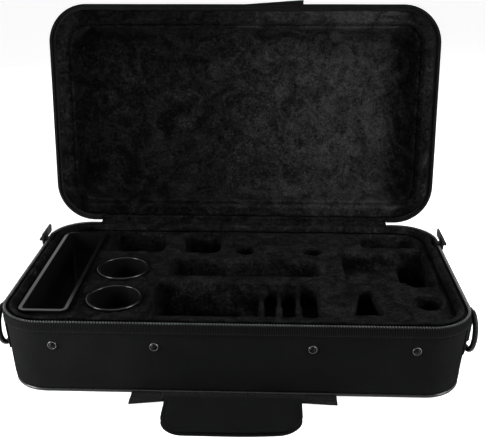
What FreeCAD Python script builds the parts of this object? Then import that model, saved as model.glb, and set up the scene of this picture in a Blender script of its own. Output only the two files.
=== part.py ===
import FreeCAD, Part
import math
import os

from FreeCAD import Vector

# A zipped, cloth-covered case for two clarinets, lying open on its base. Millimetres.
# X runs along the case, Y from its front to its hinge, Z up.
# The origin is the middle of the underside, where the base stands on the ground.

# Driving dimensions of the case, over the cloth and with the lid shut
CASE_LENGTH = 390.0
CASE_DEPTH = 220.0
BASE_HEIGHT = 70.0
LID_HEIGHT = 34.0
CORNER_RADIUS = 38.0
BASE_DRAW_IN = 5.0
LID_DRAW_IN = 4.0
OPEN_ANGLE_DEG = 96.8

# Layers of a wall, from the outside in
COVER_THICKNESS = 1.2
SHELL_THICKNESS = 5.0
LAYER_GAP = 0.2
SEAT_GAP = 0.3
OVERRUN = 10.0

# Piping bead in the seam between the band round the walls and the large panels
PIPING_RADIUS = 1.5
PIPING_LIFT = 0.4
SEAM_WIDTH = 3.4
SEAM_HEIGHT = 3.6

# Zip: two coil rails, each sewn to the inside of its tape
COIL_WIDTH = 2.4
COIL_HEIGHT = 2.4
COIL_INSET = 0.1
COIL_TO_RIM_PLANE = 0.7
TAPE_THICKNESS = 0.8
TAPE_WIDTH = 10.0
ZIP_END_FROM_END = 45.0

# Fabric hinge behind the rim
HINGE_AXIS_OUT = 0.5
HINGE_END_GAP = 2.0
HINGE_CLOTH_THICKNESS = 0.8
HINGE_CLOTH_WIDTH = 18.0
HINGE_BEAD_RADIUS = 0.7
HINGE_STRIP_OUTER_INSET = 0.3

# Plush lip round each rim, with room outside it for the slider
LIP_OUTER_INSET = 5.0
LIP_TO_RIM_PLANE = 0.6
BASE_LIP_INNER_INSET = 11.5

# Lid lining: a rim band, sloping plush walls and a soft floor
LID_BAND_INNER_INSET = 21.0
LID_FLOOR_INSET = 43.0
LID_RECESS_DEPTH = 22.0
LID_RECESS_CORNER = 24.0
LID_FLOOR_CORNER = 12.0
# The recess wall from rim band to floor, as shares of its inset and of its depth
LID_RECESS_SHARES = ((0, 0), (0.06, 0.1), (0.14, 0.35), (0.32, 0.68), (0.6, 0.9), (1, 1))

# Fitted insert in the base: its top lies below the rim plane
FLOOR_PAD_THICKNESS = 4.0
INSERT_OUTER_INSET = 8.4
INSERT_BELOW_RIM = 7.0
WELL_CORNER_RADIUS = 6.0

# Slot for the two upper joints, front row: a deep end, then a shallow ribbed end
FRONT_SLOT_FROM_LEFT_END = 123.0
FRONT_SLOT_FROM_RIGHT_END = 124.0
FRONT_SLOT_FROM_FRONT = 26.0
FRONT_SLOT_TO_MIDDLE = 24.0
FRONT_SLOT_FLOOR = 25.0
FRONT_SLOT_RIBBED_FLOOR = 39.0
# The ribbed end's share of the slot, and where its ribs stand as shares of that end
FRONT_SLOT_RIBBED_SHARE = 0.476
RIB_SHARES = (0.25, 0.5, 0.72)
RIB_THICKNESS = 4.0
RIBS_BELOW_TOP = 8.0

# Wedge-shaped hollow and round hollow at the right of the front row
WEDGE_FROM_RIGHT_END = 71.0
WEDGE_LENGTH = 27.0
WEDGE_APEX_FROM_RIGHT_END = 83.0
WEDGE_FROM_FRONT = 31.0
WEDGE_TO_MIDDLE = 34.0
WEDGE_TIP_WIDTH = 8.0
WEDGE_FLOOR = 33.0
END_HOLLOW_FROM_RIGHT_END = 32.0
END_HOLLOW_TO_MIDDLE = 54.0
END_HOLLOW_RADIUS = 13.0
END_HOLLOW_FLOOR = 37.0

# Slot of the middle row
MIDDLE_SLOT_FROM_LEFT_END = 131.0
MIDDLE_SLOT_FROM_RIGHT_END = 120.0
MIDDLE_SLOT_FRONT = -7.0
MIDDLE_SLOT_BACK = 29.0
MIDDLE_SLOT_FLOOR = 29.0

# Bell well: a deep end by the right wall and a shallow neck to its left
BELL_WELL_FROM_RIGHT_END = 17.0
BELL_WELL_LENGTH = 26.0
BELL_WELL_FRONT = -24.0
BELL_WELL_BACK = 52.0
BELL_WELL_FLOOR = 17.0
BELL_NECK_LENGTH = 54.0
BELL_NECK_FRONT = -17.0
BELL_NECK_BACK = 46.0
BELL_NECK_DEPTH = 15.0

# Wells of the back row, against the hinge
BACK_ROW_FROM_BACK = 16.0
BACK_LEFT_WELL_FROM_LEFT_END = 63.0
BACK_LEFT_WELL_LENGTH = 55.0
BACK_LEFT_WELL_FRONT = 47.0
BACK_LEFT_WELL_FLOOR = 31.0
BACK_MIDDLE_WELL_FROM_LEFT_END = 137.0
BACK_MIDDLE_WELL_LENGTH = 37.0
BACK_MIDDLE_WELL_FRONT = 46.0
BACK_MIDDLE_WELL_FLOOR = 27.0
BACK_RIGHT_WELL_FROM_RIGHT_END = 23.0
BACK_RIGHT_WELL_LENGTH = 53.0
BACK_RIGHT_WELL_FRONT = 62.0
BACK_RIGHT_WELL_FLOOR = 25.0

# Shallow finger dips between the rows
DIP_RADIUS = 9.0
DIP_DEPTH = 12.0
DIPS_FROM_LEFT_END = (199.0, 265.0)
DIP_Y = 51.0

# Open accessory box at the left end
BOX_FROM_LEFT_END = 15.0
BOX_WIDTH = 39.0
BOX_FROM_FRONT = 26.0
BOX_FROM_BACK = 24.0
BOX_WALL = 1.6
BOX_FLOOR = 20.0
BOX_RIM_ABOVE = 3.0
BOX_LIP_WIDTH = 1.4
BOX_LIP_HEIGHT = 1.6
BOX_CORNER_RADIUS = 5.0

# Two blind cups beside the box
CUP_INNER_RADIUS = 21.5
CUP_WALL = 1.5
CUP_FLANGE_RADIUS = 24.3
CUP_FLANGE_HEIGHT = 1.6
CUP_FLOOR = 21.0
CUP_EDGE_RADIUS = 0.6
REAR_CUP_FROM_LEFT_END = 87.0
FRONT_CUP_OFFSET = 3.0
FRONT_CUP_FROM_FRONT = 54.0
CUP_SPACING = 60.5

# Rivets that show on the front wall
OUTER_STUD_FROM_END = 48.0
INNER_STUD_FROM_MIDDLE = 64.0
STUD_BELOW_RIM = 23.0
STUD_HEAD_RADIUS = 3.9
STUD_HEAD_HEIGHT = 2.2
STUD_SHANK_RADIUS = 1.5
STUD_FIT = 0.1
WASHER_RADIUS = 5.4
WASHER_THICKNESS = 0.9
BURR_RADIUS = 4.5
BURR_THICKNESS = 1.0
BURR_LAND = 0.4

# Zip sliders on the straight of each end wall
SLIDER_PARK_FROM_BACK = 50.0
SLIDER_LENGTH = 15.0
SLIDER_HEIGHT = 11.0
SLIDER_INNER_HEIGHT = 6.2
SLIDER_PLATE = 1.4
SLIDER_CLEARANCE = 0.3
SLIDER_WEB = 0.8
SLIDER_WEB_LENGTH = 8.0
SLIDER_CORNER = 3.5
BRIDGE_LENGTH = 9.0
BRIDGE_WIDTH = 2.0
BRIDGE_RISE = 3.4
BRIDGE_THICKNESS = 1.1

# Pull tabs, lying flat along the wall from a pin under the slider's bridge
PULL_LENGTH = 30.0
PULL_THICKNESS = 1.2
PULL_PIN_RADIUS = 0.8
PULL_EYE_WIDTH = 3.2
PULL_ARM_WIDTH = 2.6
PULL_BRIDGE_CLEARANCE = 0.8
PULL_END_RADIUS = 3.0
PULL_HOLE_RADIUS = 1.4
PULL_HOLE_FROM_TIP = 4.5

# Shoulder-strap rings on the end walls
RING_BELOW_RIM = 24.0
RING_BAR_FROM_FRONT = 46.0
RING_WIRE_RADIUS = 1.6
RING_INNER_HEIGHT = 30.0
RING_REACH = 22.0
RING_SWING_OUT_DEG = 2.0
TAB_WIDTH = 25.0
TAB_LENGTH = 22.0
TAB_MERGE = 9.0
TAB_THICKNESS = 1.5
TAB_FIT = 0.3

# Base handle: webbing loop and a padded wrap folded round it, lying in front of the case
WEBBING_THICKNESS = 1.6
WEBBING_WIDTH = 25.0
BASE_HANDLE_HALF_WIDTH = 85.0
HANDLE_HINGE_OUT = 9.0
BASE_HANDLE_LEFT_REACH = 14.0
BASE_HANDLE_RIGHT_REACH = 8.0
CROSS_BAND_REACH = 22.0
WRAP_HALF_WIDTH = 56.0
WRAP_REACH = 47.0
WRAP_LEAF_THICKNESS = 2.8
WRAP_CORNER_RADIUS = 19.0
WRAP_SKIN = 0.7
WRAP_SPINE = 1.4
WRAP_EDGE_RADIUS = 1.0
PATCH_THICKNESS = 0.6
PATCH_LENGTH = 84.0
PATCH_WIDTH = 14.0
PATCH_FROM_EDGE = 5.0

# Lid handle: a webbing loop that peeks over the far edge of the opened lid
LID_HANDLE_HALF_WIDTH = 60.0
LID_HANDLE_AXIS_IN = 40.0
LID_HANDLE_LEFT_OVER = 0.7
LID_HANDLE_RIGHT_OVER = 9.1
LID_ANCHOR_LENGTH = 28.0

HALF_LENGTH = CASE_LENGTH / 2
HALF_DEPTH = CASE_DEPTH / 2
CASE_TOP = BASE_HEIGHT + LID_HEIGHT
HINGE_Y = HALF_DEPTH + HINGE_AXIS_OUT
ZIP_END_X = HALF_LENGTH - ZIP_END_FROM_END
WALL_TOP = BASE_HEIGHT - COIL_TO_RIM_PLANE - COIL_HEIGHT - SEAT_GAP
LID_WALL_FOOT = 2 * BASE_HEIGHT - WALL_TOP
LINER_INSET = COVER_THICKNESS + LAYER_GAP + SHELL_THICKNESS
DRAFT_RAD = math.atan(BASE_DRAW_IN / BASE_HEIGHT)
INSERT_TOP = BASE_HEIGHT - INSERT_BELOW_RIM
BACK_ROW_BACK = HALF_DEPTH - BACK_ROW_FROM_BACK
FRONT_SLOT_LEFT = FRONT_SLOT_FROM_LEFT_END - HALF_LENGTH
FRONT_SLOT_RIGHT = HALF_LENGTH - FRONT_SLOT_FROM_RIGHT_END
FRONT_SLOT_RIBBED_LENGTH = FRONT_SLOT_RIBBED_SHARE * (FRONT_SLOT_RIGHT - FRONT_SLOT_LEFT)
FRONT_SLOT_FRONT = FRONT_SLOT_FROM_FRONT - HALF_DEPTH
REAR_CUP_X = REAR_CUP_FROM_LEFT_END - HALF_LENGTH
FRONT_CUP_X = REAR_CUP_X + FRONT_CUP_OFFSET
FRONT_CUP_Y = FRONT_CUP_FROM_FRONT - HALF_DEPTH
REAR_CUP_Y = FRONT_CUP_Y + CUP_SPACING
OUTER_STUD_X = HALF_LENGTH - OUTER_STUD_FROM_END
STUD_X_VALUES = (-OUTER_STUD_X, -INNER_STUD_FROM_MIDDLE, INNER_STUD_FROM_MIDDLE, OUTER_STUD_X)
STUD_Z = BASE_HEIGHT - STUD_BELOW_RIM
SLIDER_PARK_Y = HALF_DEPTH - SLIDER_PARK_FROM_BACK
RING_Z = BASE_HEIGHT - RING_BELOW_RIM
RING_BAR_Y = RING_BAR_FROM_FRONT - HALF_DEPTH
X_AXIS = Vector(1, 0, 0)
Y_AXIS = Vector(0, 1, 0)
Z_AXIS = Vector(0, 0, 1)


# Plain shapes

def box(x_low, x_high, y_low, y_high, z_low, z_high):
    """A block between two corners."""
    return Part.makeBox(x_high - x_low, y_high - y_low, z_high - z_low, Vector(x_low, y_low, z_low))


def rod(radius, length, start, direction):
    """A cylinder from a start point along a direction."""
    return Part.makeCylinder(radius, length, start, direction)


def outline(points, z):
    """A closed face through corner points at one height."""
    corners = [Vector(x, y, z) for x, y in points]
    return Part.Face(Part.makePolygon(corners + corners[:1]))


def slab(points, z_low, z_high):
    """A flat plate with a polygon outline."""
    return outline(points, z_low).extrude(Z_AXIS * (z_high - z_low))


def group(solids):
    """Separate solids that share one node."""
    return Part.makeCompound(solids)


def rounded_wire(x_low, x_high, y_low, y_high, radius, z):
    """A rectangle with round corners, as four arcs joined by four lines."""
    centres = ((x_high - radius, y_high - radius), (x_low + radius, y_high - radius),
               (x_low + radius, y_low + radius), (x_high - radius, y_low + radius))
    arcs = []
    for quarter, (x, y) in enumerate(centres):
        start = quarter * math.pi / 2
        circle = Part.Circle(Vector(x, y, z), Z_AXIS, radius)
        arcs.append(Part.ArcOfCircle(circle, start, start + math.pi / 2))
    edges = []
    for arc, following in zip(arcs, arcs[1:] + arcs[:1]):
        edges += [arc.toShape(), Part.LineSegment(arc.EndPoint, following.StartPoint).toShape()]
    return Part.Wire(edges)


def rounded_block(x_low, x_high, y_low, y_high, radius, z_low, z_high):
    """An upright block with round vertical edges."""
    face = Part.Face(rounded_wire(x_low, x_high, y_low, y_high, radius, z_low))
    return face.extrude(Z_AXIS * (z_high - z_low))


# Case walls, which draw in away from the rim plane

def draw_in(z):
    """How far the outside has drawn in from the rim plane at a height."""
    if z <= BASE_HEIGHT:
        return BASE_DRAW_IN * (BASE_HEIGHT - z) / BASE_HEIGHT
    return LID_DRAW_IN * (z - BASE_HEIGHT) / LID_HEIGHT


def plan(z, inset):
    """The outline of the case at a height, moved in by an inset."""
    pull = draw_in(z) + inset
    half_x, half_y = HALF_LENGTH - pull, HALF_DEPTH - pull
    return rounded_wire(-half_x, half_x, -half_y, half_y, CORNER_RADIUS - pull, z)


def drawn_block(z_low, z_high, inset):
    """A solid block that follows the case's drawn-in walls."""
    return Part.makeLoft([plan(z_low, inset), plan(z_high, inset)], True, True)


def drawn_ring(z_low, z_high, outer_inset, inner_inset):
    """A band that follows the case's walls, open above and below."""
    return drawn_block(z_low, z_high, outer_inset).cut(drawn_block(z_low, z_high, inner_inset))


def opened(shape):
    """A lid piece, drawn shut, turned to where the photographed lid stands."""
    turned = shape.copy()
    turned.rotate(Vector(0, HINGE_Y, BASE_HEIGHT), X_AXIS, -OPEN_ANGLE_DEG)
    return turned


def piping(z, inset):
    """A round bead that follows the case's outline: four rods and four quarter rings."""
    pull = draw_in(z) + inset
    radius = CORNER_RADIUS - pull
    straight_x, straight_y = HALF_LENGTH - CORNER_RADIUS, HALF_DEPTH - CORNER_RADIUS
    half_x, half_y = HALF_LENGTH - pull, HALF_DEPTH - pull
    bead = None
    for side in (-1, 1):
        along = rod(PIPING_RADIUS, 2 * straight_x, Vector(-straight_x, side * half_y, z), X_AXIS)
        across = rod(PIPING_RADIUS, 2 * straight_y, Vector(side * half_x, -straight_y, z), Y_AXIS)
        bead = along.fuse(across) if bead is None else bead.fuse([along, across])
    for count, (side_x, side_y) in enumerate(((1, 1), (-1, 1), (-1, -1), (1, -1))):
        centre = Vector(side_x * straight_x, side_y * straight_y, z)
        quarter = Part.makeTorus(radius, PIPING_RADIUS, centre, Z_AXIS, -180, 180, 90)
        quarter.rotate(centre, Z_AXIS, 90 * count)
        bead = bead.fuse(quarter)
    return bead.removeSplitter()


def rear_opening(z_low, z_high):
    """The stretch of the rear wall that the zip leaves to the hinge."""
    return box(-ZIP_END_X, ZIP_END_X, HALF_DEPTH - CORNER_RADIUS, HALF_DEPTH + OVERRUN, z_low, z_high)


# Rivets through the front wall

def on_front_wall(shape, x):
    """A piece drawn round the Y axis at the origin, set square on the leaning front wall."""
    placed = shape.copy()
    placed.rotate(Vector(0, 0, 0), X_AXIS, math.degrees(DRAFT_RAD))
    placed.translate(Vector(x, draw_in(STUD_Z) - HALF_DEPTH, STUD_Z))
    return placed


def washer_disc(radius, hole, y_low, thickness):
    """A flat ring whose axis is Y."""
    start = Vector(0, y_low, 0)
    return rod(radius, thickness, start, Y_AXIS).cut(rod(hole, thickness, start, Y_AXIS))


def rivet():
    """A domed head and its shank, which ends flush with the burr."""
    seat = -SEAT_GAP - WASHER_THICKNESS
    dome_radius = (STUD_HEAD_RADIUS ** 2 + STUD_HEAD_HEIGHT ** 2) / (2 * STUD_HEAD_HEIGHT)
    dome = Part.makeSphere(dome_radius, Vector(0, seat - STUD_HEAD_HEIGHT + dome_radius, 0))
    dome = dome.common(rod(STUD_HEAD_RADIUS, STUD_HEAD_HEIGHT, Vector(0, seat, 0), -Y_AXIS))
    shank_length = LINER_INSET + BURR_LAND + BURR_THICKNESS - seat
    return dome.fuse(rod(STUD_SHANK_RADIUS, shank_length, Vector(0, seat, 0), Y_AXIS))


def rivet_holes():
    """Holes for the rivets' shanks through the wall."""
    hole = rod(STUD_SHANK_RADIUS + STUD_FIT, 2 * OVERRUN, Vector(0, -OVERRUN, 0), Y_AXIS)
    return [on_front_wall(hole, x) for x in STUD_X_VALUES]


def front_rivets():
    """Rivets, their cup washers and their inner burrs."""
    washer = washer_disc(WASHER_RADIUS, STUD_SHANK_RADIUS + STUD_FIT, -SEAT_GAP / 2 - WASHER_THICKNESS,
                         WASHER_THICKNESS)
    burr = washer_disc(BURR_RADIUS, STUD_SHANK_RADIUS + STUD_FIT, LINER_INSET + BURR_LAND, BURR_THICKNESS)
    stud = rivet()
    return {
        "front_rivets": group([on_front_wall(stud, x) for x in STUD_X_VALUES]),
        "rivet_washers": group([on_front_wall(washer, x) for x in STUD_X_VALUES]),
        "rivet_burrs": group([on_front_wall(burr, x) for x in STUD_X_VALUES]),
    }


# Base

def base_walls():
    """Underside panel, band round the walls, stiff tub, piping and floor pad."""
    panel_top = COVER_THICKNESS
    panel = drawn_block(0, panel_top, SEAM_WIDTH)
    band = drawn_ring(SEAM_HEIGHT, WALL_TOP, 0, COVER_THICKNESS)
    floor_low = panel_top + LAYER_GAP
    step = drawn_block(floor_low, SEAM_HEIGHT + LAYER_GAP, SEAM_WIDTH + LAYER_GAP)
    outside = drawn_block(SEAM_HEIGHT + LAYER_GAP, WALL_TOP, COVER_THICKNESS + LAYER_GAP)
    floor_high = floor_low + SHELL_THICKNESS
    tub = outside.fuse(step).cut(drawn_block(floor_high, BASE_HEIGHT, LINER_INSET))
    pad_low = floor_high + LAYER_GAP
    pad = drawn_block(pad_low, pad_low + FLOOR_PAD_THICKNESS, INSERT_OUTER_INSET)
    for hole in rivet_holes():
        band = band.cut(hole)
        tub = tub.cut(hole)
    return {
        "base_bottom_panel": panel,
        "base_side_band": band,
        "base_shell": tub.removeSplitter(),
        "base_piping": piping(PIPING_RADIUS + PIPING_LIFT, PIPING_RADIUS),
        "base_floor_pad": pad,
    }


def pocket(x_low, x_high, y_low, y_high, floor):
    """A round-cornered well cut down from the insert's top."""
    return rounded_block(x_low, x_high, y_low, y_high, WELL_CORNER_RADIUS, floor, INSERT_TOP + OVERRUN)


def well_from_left(from_end, length, y_low, y_high, floor):
    """A well placed from the case's left end."""
    start = from_end - HALF_LENGTH
    return pocket(start, start + length, y_low, y_high, floor)


def well_from_right(from_end, length, y_low, y_high, floor):
    """A well placed from the case's right end."""
    end = HALF_LENGTH - from_end
    return pocket(end - length, end, y_low, y_high, floor)


def upright_hole(x, y, radius, floor):
    """A round hollow cut down from the insert's top."""
    return rod(radius, INSERT_TOP + OVERRUN - floor, Vector(x, y, floor), Z_AXIS)


def front_slot():
    """The front row's slot: a deep end and a shallow ribbed end that run together."""
    step = FRONT_SLOT_RIGHT - FRONT_SLOT_RIBBED_LENGTH
    overlap = step - 2 * WELL_CORNER_RADIUS
    return [
        pocket(FRONT_SLOT_LEFT, step, FRONT_SLOT_FRONT, -FRONT_SLOT_TO_MIDDLE, FRONT_SLOT_FLOOR),
        pocket(overlap, FRONT_SLOT_RIGHT, FRONT_SLOT_FRONT, -FRONT_SLOT_TO_MIDDLE, FRONT_SLOT_RIBBED_FLOOR),
    ]


def front_ribs():
    """Plush ribs that stand across the shallow end of the front slot."""
    half = RIB_THICKNESS / 2
    ribs = []
    for share in RIB_SHARES:
        x = FRONT_SLOT_RIGHT - share * FRONT_SLOT_RIBBED_LENGTH
        ribs.append(box(x - half, x + half, FRONT_SLOT_FRONT, -FRONT_SLOT_TO_MIDDLE,
                        FRONT_SLOT_RIBBED_FLOOR, INSERT_TOP - RIBS_BELOW_TOP))
    return ribs


def wedge_well():
    """The wedge-shaped hollow of the front row."""
    half_tip = WEDGE_TIP_WIDTH / 2
    right = HALF_LENGTH - WEDGE_FROM_RIGHT_END
    apex = HALF_LENGTH - WEDGE_APEX_FROM_RIGHT_END
    front = WEDGE_FROM_FRONT - HALF_DEPTH
    points = [(right - WEDGE_LENGTH, front), (right, front),
              (apex + half_tip, -WEDGE_TO_MIDDLE), (apex - half_tip, -WEDGE_TO_MIDDLE)]
    return slab(points, WEDGE_FLOOR, INSERT_TOP + OVERRUN)


def middle_slot():
    """The slot of the middle row."""
    left = MIDDLE_SLOT_FROM_LEFT_END - HALF_LENGTH
    right = HALF_LENGTH - MIDDLE_SLOT_FROM_RIGHT_END
    return pocket(left, right, MIDDLE_SLOT_FRONT, MIDDLE_SLOT_BACK, MIDDLE_SLOT_FLOOR)


def bell_wells():
    """The bell's deep well and its shallow neck, which run together."""
    neck_end = BELL_WELL_FROM_RIGHT_END + BELL_WELL_LENGTH - 2 * WELL_CORNER_RADIUS
    return [
        well_from_right(BELL_WELL_FROM_RIGHT_END, BELL_WELL_LENGTH, BELL_WELL_FRONT, BELL_WELL_BACK,
                        BELL_WELL_FLOOR),
        well_from_right(neck_end, BELL_NECK_LENGTH + 2 * WELL_CORNER_RADIUS, BELL_NECK_FRONT,
                        BELL_NECK_BACK, INSERT_TOP - BELL_NECK_DEPTH),
    ]


def back_row():
    """The three wells against the hinge."""
    return [
        well_from_left(BACK_LEFT_WELL_FROM_LEFT_END, BACK_LEFT_WELL_LENGTH, BACK_LEFT_WELL_FRONT,
                       BACK_ROW_BACK, BACK_LEFT_WELL_FLOOR),
        well_from_left(BACK_MIDDLE_WELL_FROM_LEFT_END, BACK_MIDDLE_WELL_LENGTH, BACK_MIDDLE_WELL_FRONT,
                       BACK_ROW_BACK, BACK_MIDDLE_WELL_FLOOR),
        well_from_right(BACK_RIGHT_WELL_FROM_RIGHT_END, BACK_RIGHT_WELL_LENGTH, BACK_RIGHT_WELL_FRONT,
                        BACK_ROW_BACK, BACK_RIGHT_WELL_FLOOR),
    ]


def box_outline(grow, z_low, z_high):
    """The accessory box's outline grown by a margin, as a block."""
    left = BOX_FROM_LEFT_END - HALF_LENGTH
    front, back = BOX_FROM_FRONT - HALF_DEPTH, HALF_DEPTH - BOX_FROM_BACK
    return rounded_block(left - grow, left + BOX_WIDTH + grow, front - grow, back + grow,
                         BOX_CORNER_RADIUS + grow, z_low, z_high)


def insert():
    """The plush-covered block with a well for each piece of the two instruments."""
    low = COVER_THICKNESS + LAYER_GAP + SHELL_THICKNESS + LAYER_GAP + FLOOR_PAD_THICKNESS + LAYER_GAP
    wells = front_slot() + bell_wells() + back_row() + [
        wedge_well(),
        upright_hole(HALF_LENGTH - END_HOLLOW_FROM_RIGHT_END, -END_HOLLOW_TO_MIDDLE, END_HOLLOW_RADIUS,
                     END_HOLLOW_FLOOR),
        middle_slot(),
        box_outline(SEAT_GAP, BOX_FLOOR - SEAT_GAP, INSERT_TOP + OVERRUN),
    ]
    for from_end in DIPS_FROM_LEFT_END:
        wells.append(upright_hole(from_end - HALF_LENGTH, DIP_Y, DIP_RADIUS, INSERT_TOP - DIP_DEPTH))
    for x, y in ((FRONT_CUP_X, FRONT_CUP_Y), (REAR_CUP_X, REAR_CUP_Y)):
        wells.append(upright_hole(x, y, CUP_INNER_RADIUS + CUP_WALL + SEAT_GAP,
                                  CUP_FLOOR - CUP_WALL - SEAT_GAP))
    body = drawn_block(low, INSERT_TOP, INSERT_OUTER_INSET)
    for well in wells:
        body = body.cut(well)
    return body.fuse(front_ribs()).removeSplitter()


def accessory_box():
    """A thin-walled open box with a narrow outward lip."""
    rim = INSERT_TOP + BOX_RIM_ABOVE
    walls = box_outline(0, BOX_FLOOR, rim)
    lip = box_outline(BOX_LIP_WIDTH, rim - BOX_LIP_HEIGHT, rim)
    inside = box_outline(-BOX_WALL, BOX_FLOOR + BOX_WALL, rim + OVERRUN)
    return walls.fuse(lip).cut(inside).removeSplitter()


def cup(x, y):
    """A blind round cup whose flange rests on the insert."""
    outer_radius = CUP_INNER_RADIUS + CUP_WALL
    seat = INSERT_TOP + SEAT_GAP
    flange_top = seat + CUP_FLANGE_HEIGHT
    foot = CUP_FLOOR - CUP_WALL
    wall = rod(outer_radius, flange_top - foot, Vector(x, y, foot), Z_AXIS)
    flange = rod(CUP_FLANGE_RADIUS, CUP_FLANGE_HEIGHT, Vector(x, y, seat), Z_AXIS)
    bore = rod(CUP_INNER_RADIUS, INSERT_TOP + OVERRUN - CUP_FLOOR, Vector(x, y, CUP_FLOOR), Z_AXIS)
    body = wall.fuse(flange).removeSplitter().cut(bore)
    rim_edges = [edge for edge in body.Edges
                 if edge.Closed and abs(edge.BoundBox.ZMin - flange_top) < CUP_EDGE_RADIUS / 2]
    return body.makeFillet(CUP_EDGE_RADIUS, rim_edges)


def base_rim():
    """Plush lip inside the base's rim, on the insert and the tub's wall."""
    top = BASE_HEIGHT - LIP_TO_RIM_PLANE
    low = INSERT_TOP + SEAT_GAP
    lip = drawn_ring(low, top, LINER_INSET + SEAT_GAP, BASE_LIP_INNER_INSET)
    over_wall = drawn_ring(WALL_TOP + SEAT_GAP, top, LIP_OUTER_INSET, LINER_INSET + SEAT_GAP)
    room = box_outline(BOX_LIP_WIDTH + SEAT_GAP, low, top)
    return lip.fuse(over_wall).removeSplitter().cut(room)


# Zip

def zip_halves():
    """Tape and coil rail of the base and of the lid, ending where the hinge begins."""
    coil_top = BASE_HEIGHT - COIL_TO_RIM_PLANE
    coil_foot = BASE_HEIGHT + COIL_TO_RIM_PLANE
    coil_inner = COIL_INSET + COIL_WIDTH
    base_coil = drawn_ring(coil_top - COIL_HEIGHT, coil_top, COIL_INSET, coil_inner)
    tape_inner = -LAYER_GAP / 2
    tape_outer = tape_inner - TAPE_THICKNESS
    base_tape = drawn_ring(coil_top - TAPE_WIDTH, coil_top, tape_outer, tape_inner)
    lid_coil = drawn_ring(coil_foot, coil_foot + COIL_HEIGHT, COIL_INSET, coil_inner)
    lid_tape = drawn_ring(coil_foot, coil_foot + TAPE_WIDTH, tape_outer, tape_inner)
    gap = rear_opening(0, CASE_TOP)
    return {
        "zip_coil_base": base_coil.cut(gap),
        "zip_tape_base": base_tape.cut(gap),
        "zip_coil_lid": opened(lid_coil.cut(gap)),
        "zip_tape_lid": opened(lid_tape.cut(gap)),
    }


def hinge_pieces():
    """Outer cloth with its fold bead on the axis, and the plush strips inside it."""
    half = ZIP_END_X - HINGE_END_GAP
    back = HINGE_Y + HINGE_CLOTH_THICKNESS / 2
    front = HINGE_Y - HINGE_CLOTH_THICKNESS / 2
    fold_gap = HINGE_BEAD_RADIUS + SEAT_GAP
    bead = rod(HINGE_BEAD_RADIUS, 2 * half, Vector(-half, HINGE_Y, BASE_HEIGHT), X_AXIS)
    lower = box(-half, half, front, back, BASE_HEIGHT - HINGE_CLOTH_WIDTH, BASE_HEIGHT).fuse(bead)
    upper = box(-half, half, front, back, BASE_HEIGHT + fold_gap, BASE_HEIGHT + HINGE_CLOTH_WIDTH)
    strip_back = HALF_DEPTH - HINGE_STRIP_OUTER_INSET
    strip_front = HALF_DEPTH - LIP_OUTER_INSET + SEAT_GAP
    strip_low, strip_high = WALL_TOP + SEAT_GAP, BASE_HEIGHT - LIP_TO_RIM_PLANE
    strip = box(-half, half, strip_front, strip_back, strip_low, strip_high)
    above = 2 * BASE_HEIGHT
    lid_strip = box(-half, half, strip_front, strip_back, above - strip_high, above - strip_low)
    return {
        "hinge_cloth_lower": lower.removeSplitter(),
        "hinge_cloth_upper": opened(upper),
        "hinge_strip_lower": strip,
        "hinge_strip_upper": opened(lid_strip),
    }


# Lid, drawn shut and then opened

def lid_lining():
    """Plush lining: a band round the rim, then sloping walls down to a soft floor."""
    foot = BASE_HEIGHT + LIP_TO_RIM_PLANE
    roof = CASE_TOP - COVER_THICKNESS - LAYER_GAP - SHELL_THICKNESS - LAYER_GAP
    body = drawn_block(foot, roof, LINER_INSET + SEAT_GAP)
    over_wall = drawn_ring(foot, LID_WALL_FOOT - SEAT_GAP, LIP_OUTER_INSET, LINER_INSET + SEAT_GAP)
    body = body.fuse(over_wall).removeSplitter()
    return body.cut(lid_recess(foot))


def lid_recess(foot):
    """The hollow of the lid: its soft wall curves in from the rim band to the floor."""
    rings = []
    for inset_share, depth_share in LID_RECESS_SHARES:
        inset = LID_BAND_INNER_INSET + inset_share * (LID_FLOOR_INSET - LID_BAND_INNER_INSET)
        corner = LID_RECESS_CORNER + inset_share * (LID_FLOOR_CORNER - LID_RECESS_CORNER)
        half_x, half_y = HALF_LENGTH - inset, HALF_DEPTH - inset
        level = foot + depth_share * LID_RECESS_DEPTH
        rings.append(rounded_wire(-half_x, half_x, -half_y, half_y, corner, level))
    return Part.makeLoft(rings, True, True)


def lid_walls():
    """Top panel, band round the walls, stiff shell, piping and lining of the lid."""
    seam_z = CASE_TOP - SEAM_HEIGHT
    panel = drawn_block(CASE_TOP - COVER_THICKNESS, CASE_TOP, SEAM_WIDTH)
    band = drawn_ring(LID_WALL_FOOT, seam_z, 0, COVER_THICKNESS)
    roof_high = CASE_TOP - COVER_THICKNESS - LAYER_GAP
    step = drawn_block(seam_z - LAYER_GAP, roof_high, SEAM_WIDTH + LAYER_GAP)
    outside = drawn_block(LID_WALL_FOOT, seam_z - LAYER_GAP, COVER_THICKNESS + LAYER_GAP)
    inside = drawn_block(LID_WALL_FOOT, roof_high - SHELL_THICKNESS, LINER_INSET)
    return {
        "lid_top_panel": opened(panel),
        "lid_side_band": opened(band),
        "lid_shell": opened(outside.fuse(step).cut(inside).removeSplitter()),
        "lid_piping": opened(piping(CASE_TOP - PIPING_RADIUS - PIPING_LIFT, PIPING_RADIUS)),
        "lid_lining": opened(lid_lining()),
    }


# Zip sliders and their pull tabs

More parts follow.
